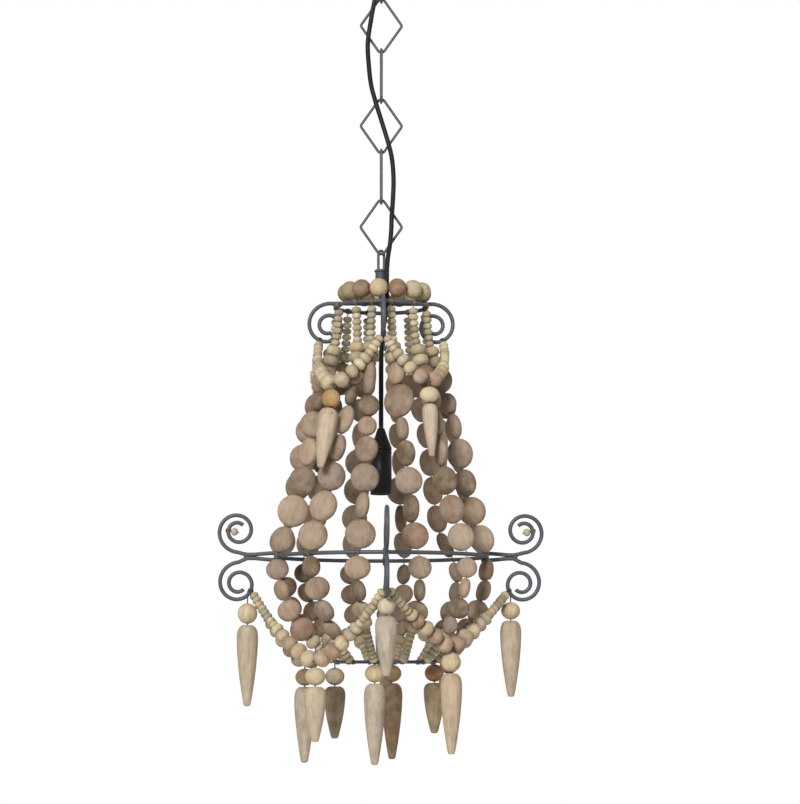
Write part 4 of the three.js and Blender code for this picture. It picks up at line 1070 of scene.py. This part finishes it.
def strand_points(strand):
    """The string's way down, from the top ring to the bottom ring."""
    pass_radius = RING_RADIUS + FRAME_WIRE / 2 + SEAT_GAP + THREAD_RADIUS
    end_radius = BOTTOM_RING_RADIUS + BOTTOM_RING_WIRE / 2 + SEAT_GAP + TINY_BEAD * TINY_WIDTH_SHARE / 2
    tie = (BOTTOM_RING_WIRE / 2 + SEAT_GAP + THREAD_RADIUS / 2) * sqrt(0.5)
    points = [(TOP_RING_RADIUS, top_ring_z - FRAME_WIRE / 2 - SEAT_GAP)]
    for out, fall in zip(CAGE_RADIUS_SHARES, CAGE_HEIGHT_SHARES):
        points.append((
            TOP_RING_RADIUS + (RING_RADIUS - TOP_RING_RADIUS) * out,
            top_ring_z + (ring_z - top_ring_z) * fall,
        ))
    points += [(pass_radius, ring_z + FRAME_WIRE / 2), (pass_radius, ring_z - FRAME_WIRE / 2)]
    for way, fall in zip(BASKET_RADIUS_SHARES, BASKET_HEIGHT_SHARES):
        points.append((
            RING_RADIUS + (BOTTOM_RING_RADIUS - RING_RADIUS) * way, ring_z + (bottom_z - ring_z) * fall,
            BOTTOM_SHIFT * way,
        ))
    points.append((end_radius, bottom_z + END_LIFT, BOTTOM_SHIFT))
    points.append((BOTTOM_RING_RADIUS + tie, bottom_z - tie, BOTTOM_SHIFT))
    aside = ASIDE_DEGREES.get(strand, [0])
    places = []
    for number, (radius, z, *shift) in enumerate(points):
        swing = radians(aside[min(number, len(aside) - 1)])
        place = polar(radius, strand_azimuth(strand) + swing, z)
        places.append(place + Vector((shift[0] if shift else 0, 0, 0)))
    return places


def place_on(path, distance):
    """The place and the direction at a distance along a path."""
    for start, end in zip(path, path[1:]):
        step = (end - start).length
        if distance <= step:
            return start.lerp(end, distance / step), (end - start).normalized()
        distance -= step
    return path[-1].copy(), (path[-1] - path[-2]).normalized()


def bead_seat(path, along, length):
    """A bead's middle and direction, near the straight line between its ends."""
    before, _ = place_on(path, along)
    after, _ = place_on(path, along + length)
    centre, _ = place_on(path, along + length / 2)
    return centre.lerp((before + after) / 2, CHORD_SHARE), (after - before).normalized()


def seated(path, beads):
    """Each bead with its number, middle and direction. A bare length of string has none."""
    along = 0.0
    for number, (kind, length, *sizes) in enumerate(beads):
        if kind != "bare":
            yield number, kind, length, sizes, *bead_seat(path, along, length)
        along += length


def fitted(beads, room):
    """Beads pushed together or apart a little, so that they fill a length of string."""
    asked = sum(length for _, length, *_ in beads)
    return [(kind, length * room / asked, *rest) for kind, length, *rest in beads]


def wrap_path(centre, along, wire):
    """Thread wound three times round a wire."""
    radius, pitch, turns = wire / 2 + WRAP_LIFT, WRAP_PITCH, WRAP_TURNS
    z_axis = along.normalized()
    x_axis = z_axis.orthogonal().normalized()
    y_axis = z_axis.cross(x_axis)
    steps = int(turns * 14)
    path = []
    for step in range(steps + 1):
        turn = tau * turns * step / steps
        shift = pitch * turns * (step / steps - 0.5)
        path.append(centre + x_axis * radius * cos(turn) + y_axis * radius * sin(turn) + z_axis * shift)
    return path


for strand in range(STRAND_COUNT):
    azimuth = strand_azimuth(strand)
    path = smooth_path(strand_points(strand), 16)
    down_to_ring = next(k for k, place in enumerate(path) if place.z <= ring_z)
    ring_length = length_of(path[: down_to_ring + 1])
    tiny = ("tiny", TINY_BEAD, *[TINY_BEAD * TINY_WIDTH_SHARE] * 2, 0)
    small = ("tiny", SMALL_BEAD, *[SMALL_BEAD * TINY_WIDTH_SHARE] * 2, 0)
    cage = [tiny] * 6 + [small] * 2
    for index, share in enumerate(FRONT_SIZE_SHARES.get(strand, CAGE_COIN_SHARES)):
        size = COIN_BEAD * share
        cage.append(("coin", size, size, COIN_THICKNESS, coin_turn(strand, index)))
    basket = []
    for index, share in enumerate(FRONT_BASKET_SHARES.get(strand, BASKET_COIN_SHARES)):
        turn = coin_turn(strand, index + len(CAGE_COIN_SHARES))
        size = LOWER_COIN_BEAD * share
        basket.append(("coin", size, size * BASKET_WIDTH_SHARE, LOWER_COIN_THICKNESS * share, turn))
    basket.append(small)
    rest = length_of(path) - ring_length
    basket_room = rest - PASS_LENGTH / 2 - TIE_LENGTH
    tiny_room = basket_room - sum(bead[1] for bead in basket)
    basket += [tiny] * round(tiny_room / TINY_BEAD)
    beads = [
        ("bare", TIE_LENGTH),
        *fitted(cage, ring_length - TIE_LENGTH - PASS_LENGTH / 2),
        ("bare", PASS_LENGTH),
        *fitted(basket, basket_room),
    ]
    tangent = Vector((cos(azimuth), sin(azimuth), 0))
    threads = [path]
    for end, radius, wire, z, shift in (
        (path[0], TOP_RING_RADIUS, FRAME_WIRE, top_ring_z, 0),
        (path[-1], BOTTOM_RING_RADIUS, BOTTOM_RING_WIRE, bottom_z, BOTTOM_SHIFT),
    ):
        turn = atan2(end.x - shift, -end.y)
        place = polar(radius, turn, z) + Vector((shift, 0, 0))
        threads.append(wrap_path(place, Vector((cos(turn), sin(turn), 0)), wire))
    form = twine_form(threads, TWINE_RADIUS)
    random = Random(100 + strand)
    for number, kind, length, (width, depth, turn), centre, direction in seated(path, beads):
        side = (tangent - direction * tangent.dot(direction)).normalized()
        over = direction.cross(side)
        wide = side * cos(turn) + over * sin(turn)
        if kind == "coin":
            tilt = Matrix.Rotation(random.uniform(-0.07, 0.07), 3, direction.cross(wide))
            size = (width, depth * random.uniform(0.92, 1.0), length * COIN_LENGTH_SHARE)
            colour = varied(random.choice(COIN_COLOURS), random, 0.12)
            set_bead(form, coin_bead, centre, tilt @ direction, tilt @ wide, size, colour, number)
        else:
            grow = random.uniform(0.97, 1.06)
            size = (width * grow, width * grow, length * BEAD_LENGTH_SHARE)
            colour = varied(random.choice(TINY_COLOURS), random, 0.1)
            set_bead(form, tiny_bead, centre, direction, wide, size, colour, number)
    name = f"bead_string_{strand + 1:02d}"
    string = formed_piece(name, form, [brown_wood, twine])
    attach(string, "chandelier")
    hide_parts(f"strand_{strand + 1:02d}")

# Bead swags and their drops
# Four swags hang between the top scrolls and four between the brackets. A turned wooden
# drop hangs on a wire, under a round bead, from the middle of each.

QUARTERS = ["front_right", "back_right", "back_left", "front_left"]
SIDES = ["front", "right", "back", "left"]
SWAG_BEAD = 0.0165
TIE_SPREAD = 0.0016
SWAG_TIE_LENGTH = 0.003
WIRE_FACET = 0.0009
BOW_SHARES = [(0.24, 0.4), (0.5, 0.72), (0.76, 0.93)]
ROUND_SHARE = 0.7
CAGE_HEIGHT = top_ring_z - ring_z
ROUND_WIDTH_SHARE = 1.1
TOP_SWAG = {
    "angle": 150, "radius": RING_RADIUS * 0.812, "gap": 0.005, "azimuths": [31, 138, -138, -35.5],
    "falls": [CAGE_HEIGHT * share for share in (0.1894, 0.1967, 0.1967, 0.204)],
    "bows": [0.5, 0.7, 0.7, 0.45], "tiny": (0.8, 0.86), "round": (0.8, 0.98),
}
LOWER_SWAG = {
    "angle": 239, "radius": 0.104, "gap": 0.004, "azimuths": [43.5, 131, -128, -44],
    "falls": [0.0611, 0.0641, 0.0771, 0.0761],
    "bows": [0.35, 0.4, 0.42, 0.62], "tiny": (0.8,), "round": (0.8, 0.92, 1, 1.04),
}
SWAG_COLOURS = ["b8a284", "a89078", "c0ad8c", "a2836a", "ad9474", "a08c74"]


def swag_path(start, middle, end, between, bow):
    """A bow of 1 is the slack curve, and a smaller one is pulled straighter by the drop."""
    shares = [(along, along + (fall - along) * bow) for along, fall in BOW_SHARES]
    points = [start]
    points += [between(start, middle, along, fall) for along, fall in shares]
    points.append(middle)
    points += [between(end, middle, along, fall) for along, fall in reversed(shares)]
    points.append(end)
    return smooth_path(points, 16)


def flat_between(start, middle, along, fall):
    place = start.lerp(middle, along)
    place.z = start.z + (middle.z - start.z) * fall
    return place


def round_between(start, middle, along, fall):
    turns = [atan2(place.x, -place.y) for place in (start, middle)]
    turn = (turns[1] - turns[0] + pi) % tau - pi
    radii = [hypot(place.x, place.y) for place in (start, middle)]
    place = polar(
        radii[0] + (radii[1] - radii[0]) * along, turns[0] + turn * along,
        start.z + (middle.z - start.z) * fall,
    )
    return flat_between(start, middle, along, fall).lerp(place, ROUND_SHARE)


def tie_place(scroll, degrees, azimuth, sideways):
    radius, z = scroll_place(scroll, degrees, FRAME_WIRE / 2 - WIRE_FACET + SEAT_GAP)
    return polar(radius, azimuth, z) + Vector((cos(azimuth), sin(azimuth), 0)) * sideways


def swag_beads(path, large, gap):
    """Tiny beads from each tie, then larger ones up to the middle."""
    middle = length_of(path[: len(path) // 2 + 1])
    halves = []
    for length in (middle, length_of(path) - middle):
        room = length - SWAG_TIE_LENGTH - gap / 2
        count = round((room - sum(bead[1] for bead in large)) / TINY_BEAD)
        tiny = ("tiny", TINY_BEAD, TINY_BEAD * TINY_WIDTH_SHARE)
        halves.append(fitted([tiny] * count + large, room))
    return [("bare", SWAG_TIE_LENGTH), *halves[0], ("bare", gap), *reversed(halves[1])]


def string_swag(name, node, swag, scrolls, between, quarter, seed):
    """Threads the beads of a swag, winds its ends round the scrolls and gives its middle."""
    degrees = swag["angle"]
    start = tie_place(scrolls[0], degrees, side_azimuth(quarter), TIE_SPREAD)
    end = tie_place(scrolls[1], degrees, side_azimuth(quarter + 1), -TIE_SPREAD)
    middle = polar(swag["radius"], radians(swag["azimuths"][quarter]), start.z - swag["falls"][quarter])
    path = swag_path(start, middle, end, between, swag["bows"][quarter])
    large = []
    for kind, size, wide in (
        ("tiny", SMALL_BEAD, TINY_WIDTH_SHARE), ("round", SWAG_BEAD, ROUND_WIDTH_SHARE),
    ):
        large += [(kind, size * share, size * share * wide) for share in swag[kind]]
    beads = swag_beads(path, large, swag["gap"])
    threads = [path]
    for side, scroll in zip((quarter, quarter + 1), scrolls):
        before, place, after = (
            polar(radius, side_azimuth(side), z)
            for radius, z in (scroll_place(scroll, degrees + turn) for turn in (-4, 0, 4))
        )
        threads.append(wrap_path(place, after - before, FRAME_WIRE))
    form = twine_form(threads, TWINE_RADIUS)
    random = Random(seed)
    for number, kind, length, (width,), centre, direction in seated(path, beads):
        master, kinds = (
            (tiny_bead, TINY_COLOURS) if kind == "tiny" else (round_bead, SWAG_COLOURS)
        )
        wide = width * random.uniform(0.97, 1.05)
        colour = varied(random.choice(kinds), random, 0.1)
        set_bead(
            form, master, centre, direction, Vector((0, 0, 1)) + direction * 0.1,
            (wide, wide, length * BEAD_LENGTH_SHARE), colour, number,
        )
    string = formed_piece(name, form, [pale_wood, twine])
    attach(string, "chandelier")
    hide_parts(node)
    return middle


top_middles = []
lower_middles = []
for quarter, corner in enumerate(QUARTERS):
    top_middles.append(string_swag(
        f"upper_swag_{corner}", f"top_swag_{corner}", TOP_SWAG, [TOP_SCROLL] * 2, round_between,
        quarter, 200 + quarter,
    ))
    lower_middles.append(string_swag(
        f"bracket_swag_{corner}", f"lower_swag_{corner}", LOWER_SWAG,
        [lower_scroll(quarter), lower_scroll(quarter + 1)], flat_between, quarter, 300 + quarter,
    ))

# Scroll beads
# A small round bead is tied with thread to the inner turn of the upper scroll on the
# left and on the right bracket.

SCROLL_BEAD = 0.0086
for quarter in (1, 3):
    azimuth = side_azimuth(quarter)
    radius, z = scroll_place(UPPER_SCROLL, 452)
    wire_place = polar(radius, azimuth, z)
    bead_place = polar(radius - FRAME_WIRE / 2 - SCROLL_BEAD / 2 - 0.0002, azimuth, z - 0.0014)
    threads = [
        wrap_path(wire_place, Vector((0, 0, 1)), FRAME_WIRE),
        evened([wire_place, bead_place.lerp(wire_place, -0.8)], 0.002),
    ]
    form = twine_form(threads, TWINE_RADIUS)
    size = (SCROLL_BEAD, SCROLL_BEAD, SCROLL_BEAD * 0.9)
    set_bead(
        form, round_bead, bead_place, bead_place - wire_place, Vector((0, 1, 0)), size,
        linear("b5a88c"), quarter,
    )
    name = f"scroll_bead_{SIDES[quarter]}"
    knot = formed_piece(name, form, [pale_wood, twine])
    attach(knot, "chandelier")

# Drops
# Sixteen turned drops of pale wood, in two lengths. Each hangs with a round bead on a
# wire with a small eye. One upper drop and one lowest drop show a hole in the side.

LONG_DROP = 0.085
SHORT_DROP = 0.059
DROP_WIDTH = 0.0232
SHORT_DROP_WIDTH = 0.0206
DROP_BEAD = 0.021
DROP_BEAD_HEIGHT = 0.019
DROP_WIRE = 0.0009
DROP_GAP = 0.0012
DROP_OUTLINE_SHARES = [
    (0, 0), (0, 0.44), (0.01, 0.62), (0.035, 0.80), (0.07, 0.92), (0.13, 0.99), (0.20, 1.0),
    (0.34, 0.95), (0.50, 0.85), (0.65, 0.72), (0.80, 0.56), (0.92, 0.42), (0.975, 0.34), (0.995, 0.25),
    (1.0, 0.16), (1.0, 0),
]


def hang_drop(
    name, node, body, pivot, carrier, bead_depth, length, width, colours,
    hole=False, lean=None, bead=(1, 1),
):
    """A drop with its bead and wire, below the place where the wire's eye holds on."""
    bead_colour, drop_colour = colours
    bead_width, bead_height = DROP_BEAD * bead[0], DROP_BEAD_HEIGHT * bead[1]
    start = bead_depth + bead_height / 2 + DROP_GAP
    form = wood_form()
    eye = carrier + DROP_WIRE
    wire = [Vector((0, 0, -eye)), Vector((0, 0, -start - length * 0.2))]
    loop = [Vector((0, eye * sin(tau * k / 24), -eye * cos(tau * k / 24))) for k in range(25)]
    join_mesh(form, wire_mesh("wire", [evened(wire, 0.004), loop], DROP_WIRE * 0.8, 2), 1)
    seed = sum(ord(letter) for letter in name)
    set_bead(
        form, round_bead, Vector((0, 0, -bead_depth)), Vector((0, 0, 1)), Vector((1, 0, 0)),
        (bead_width, bead_width, bead_height), linear(bead_colour), seed,
    )
    outline = [(wide * width / 2, -start - along * length) for along, wide in DROP_OUTLINE_SHARES]
    turned = spin_form(outline, (0, 0, 0), 24)
    if hole:
        ring = [
            face for face in turned.faces
            if abs(face.calc_center_median().z + start + length * 0.13) < length * 0.045
        ]
        toward = Vector((0.3, -1, 0)).normalized()
        face = max(ring, key=lambda f: f.calc_center_median().normalized().dot(toward))
        bmesh.ops.inset_individual(turned, faces=[face], thickness=width * 0.02, depth=0)
        bmesh.ops.inset_individual(turned, faces=[face], thickness=width * 0.01, depth=-width * 0.12)
    places = join_mesh(form, plain_mesh(name, turned))
    shade_bead(form, places, linear(drop_colour), seed + 1, Vector((0, 0, 0)), Matrix.Identity(3))
    turn = Matrix.Translation(pivot)
    if lean is not None:
        azimuth, angle = lean
        turn = turn @ Matrix.Rotation(angle, 4, Vector((-cos(azimuth), -sin(azimuth), 0)))
    bmesh.ops.transform(form, matrix=turn, verts=form.verts)
    drop = formed_piece(name, form, [drop_wood, grey_paint])
    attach(drop, body)
    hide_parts(node)


drop_wood = wood_finish("drop_wood", "d8c9ad", 0.30, 200.0, 0.35)
TOP_DROP_LEANS = [4, 12, 12, 15]
TOP_BEAD_DEPTHS = [0.0145, 0.0145, 0.0145, 0.0156]
TOP_BEAD_SHARES = [(1, 0.92), (0.95, 0.95), (0.95, 0.95), (0.95, 1.1)]
TOP_WIDTH_SHARES = [0.82, 1, 1, 1.04]
SWAG_BEAD_DEPTH = 0.0154
SWAG_BEAD_SHARES = [(1, 1.1), (1, 1), (1, 1), (1.05, 1)]
BRACKET_BEAD_SHARES = [(0.88, 0.92), (1, 1), (1, 1), (1.02, 1.18)]
BRACKET_BEAD_DEPTHS = [0.0163, 0.0185, 0.0187, 0.0201]
BRACKET_ANGLES = [222, 227, 222, 219]
RING_BEAD_DEPTHS = [0.0124, 0.0118, 0.0124, 0.0156]
TOP_DROP_SHARES = [0.96, 1, 0.98, 1.12]
BRACKET_DROPS = [SHORT_DROP * 1.05, LONG_DROP * 0.97, LONG_DROP, LONG_DROP * 1.03]
SWAG_DROPS = [LONG_DROP, SHORT_DROP, LONG_DROP * 0.98, SHORT_DROP * 0.98]
RING_DROPS = [LONG_DROP * 1.01, SHORT_DROP * 0.92, LONG_DROP * 0.98, SHORT_DROP * 0.95]
RING_DROP_AZIMUTHS = [-13.5, 90, 169, -90]
TOP_DROP_COLOURS = [
    ("cdbd98", "bda995"), ("bfae8a", "b7a68a"), ("c3b28f", "bda987"), ("ad8853", "b8a58c"),
]
SWAG_DROP_COLOURS = [
    ("c6b490", "bba588"), ("9a6f4c", "a58c72"), ("a08468", "b0a08c"), ("c8b793", "bba88e"),
]
BRACKET_DROP_COLOURS = [
    ("c8b99c", "b0a190"), ("c2ad8a", "b3a08a"), ("a08262", "947c62"), ("c6b390", "b5a48c"),
]
RING_DROP_COLOURS = [
    ("c2ae84", "b0a18e"), ("9c6f48", "97805f"), ("957c58", "886c50"), ("b3a083", "8d7a60"),
]
for quarter, corner in enumerate(QUARTERS):
    azimuth = radians(TOP_SWAG["azimuths"][quarter])
    hang_drop(
        f"upper_drop_{corner}", f"top_pendant_{corner}", f"top_drop_{corner}", top_middles[quarter],
        THREAD_RADIUS, TOP_BEAD_DEPTHS[quarter], SHORT_DROP * TOP_DROP_SHARES[quarter],
        SHORT_DROP_WIDTH * TOP_WIDTH_SHARES[quarter], TOP_DROP_COLOURS[quarter], corner == "front_left",
        (azimuth, radians(TOP_DROP_LEANS[quarter])), TOP_BEAD_SHARES[quarter],
    )
    hang_drop(
        f"middle_drop_{corner}", f"swag_pendant_{corner}", f"swag_drop_{corner}",
        lower_middles[quarter], THREAD_RADIUS, SWAG_BEAD_DEPTH, SWAG_DROPS[quarter], DROP_WIDTH,
        SWAG_DROP_COLOURS[quarter], bead=SWAG_BEAD_SHARES[quarter],
    )
for quarter, side in enumerate(SIDES):
    radius, z = scroll_place(lower_scroll(quarter), BRACKET_ANGLES[quarter])
    hang_drop(
        f"bracket_drop_{side}", f"bracket_pendant_{side}", f"bracket_drop_{side}",
        polar(radius, side_azimuth(quarter), z), FRAME_WIRE / 2, BRACKET_BEAD_DEPTHS[quarter],
        BRACKET_DROPS[quarter], DROP_WIDTH, BRACKET_DROP_COLOURS[quarter],
        bead=BRACKET_BEAD_SHARES[quarter],
    )
    hang_drop(
        f"lowest_drop_{side}", f"ring_pendant_{side}", f"ring_drop_{side}",
        polar(BOTTOM_RING_RADIUS, radians(RING_DROP_AZIMUTHS[quarter]), bottom_z)
        + Vector((BOTTOM_SHIFT, 0, 0)),
        BOTTOM_RING_WIRE / 2, RING_BEAD_DEPTHS[quarter], RING_DROPS[quarter], DROP_WIDTH,
        RING_DROP_COLOURS[quarter], side == "right",
    )

# Lampholder
# A black plastic holder for a candle bulb: a domed cap that the cord enters, a straight
# sleeve screwed into it, and inside a brass screw shell and a sprung contact.

cap_low, cap_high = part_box("lampholder_cap")
sleeve_low, sleeve_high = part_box("lampholder_sleeve")
HOLDER_RADIUS = 0.0117
CAP_SHARES = [
    (1.0, 0.24), (0.97, 0.33), (0.86, 0.41), (0.72, 0.50), (0.55, 0.62), (0.36, 0.78), (0.22, 0.90),
    (0.14, 0.97), (0.10, 1.0), (0, 1.0),
]
cap_height = cap_high.z - cap_low.z
cap_outline = [(0, cap_low.z + cap_height)]
cap_outline += [(HOLDER_RADIUS * wide, cap_low.z + cap_height * up) for up, wide in CAP_SHARES]
cap_outline += [
    (HOLDER_RADIUS * 0.62, cap_low.z), (HOLDER_RADIUS * 0.3, cap_low.z + cap_height * 0.7),
    (0, cap_low.z + cap_height * 0.7),
]
cap = spun_piece(
    "holder_cap", cap_outline, black_moulded, 48, bevel=0.0003, angle=0.9
)
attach(cap, "lamp")
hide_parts("lampholder_cap")

SOCKET_RADIUS = 0.008
SOCKET_DEPTH = 0.034
SLEEVE_EDGE = 0.0006
sleeve_outline = [
    (0, sleeve_high.z), (HOLDER_RADIUS - SLEEVE_EDGE, sleeve_high.z),
    (HOLDER_RADIUS, sleeve_high.z - SLEEVE_EDGE), (HOLDER_RADIUS, sleeve_high.z - 0.0045),
    (HOLDER_RADIUS - 0.0005, sleeve_high.z - 0.0050), (HOLDER_RADIUS - 0.0005, sleeve_high.z - 0.0056),
    (HOLDER_RADIUS, sleeve_high.z - 0.0061), (HOLDER_RADIUS, sleeve_low.z + 0.0008),
    (HOLDER_RADIUS - 0.0008, sleeve_low.z), (SOCKET_RADIUS + 0.0004, sleeve_low.z),
    (SOCKET_RADIUS, sleeve_low.z + SLEEVE_EDGE), (SOCKET_RADIUS, sleeve_low.z + SOCKET_DEPTH),
    (0, sleeve_low.z + SOCKET_DEPTH),
]
sleeve = spun_piece("holder_sleeve", sleeve_outline, black_moulded, 48)
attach(sleeve, "lamp")
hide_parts("lampholder_sleeve")

shell_low, shell_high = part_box("socket_shell")
THREAD_TURNS = 7
THREAD_DEPTH = 0.0003


def shell_side(inset):
    """One side of the rolled screw thread, from the bottom up."""
    shares = [step / (THREAD_TURNS * 4) for step in range(THREAD_TURNS * 4 + 1)]
    return [
        (
            SOCKET_RADIUS - inset + THREAD_DEPTH * cos(share * THREAD_TURNS * tau),
            shell_low.z + (shell_high.z - shell_low.z) * share,
        )
        for share in shares
    ]


shell_outline = [
    *shell_side(0.0007), (SOCKET_RADIUS - 0.0012, shell_high.z), *reversed(shell_side(0.0011)),
]
shell = spun_piece("screw_shell", shell_outline, stamped_brass, 40, closed=True)
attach(shell, "lamp")
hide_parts("socket_shell")

contact_low, contact_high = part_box("socket_contact")
contact_outline = [
    (0, contact_low.z), (0.0012, contact_low.z + 0.0001), (0.0022, contact_low.z + 0.0006),
    (0.0026, contact_low.z + 0.0016), (0.0047, contact_low.z + 0.0022), (0.0050, contact_low.z + 0.0026),
    (0.0050, contact_high.z), (0, contact_high.z),
]
contact = spun_piece("centre_contact", contact_outline, stamped_brass, 32)
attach(contact, "lamp")
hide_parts("socket_contact")
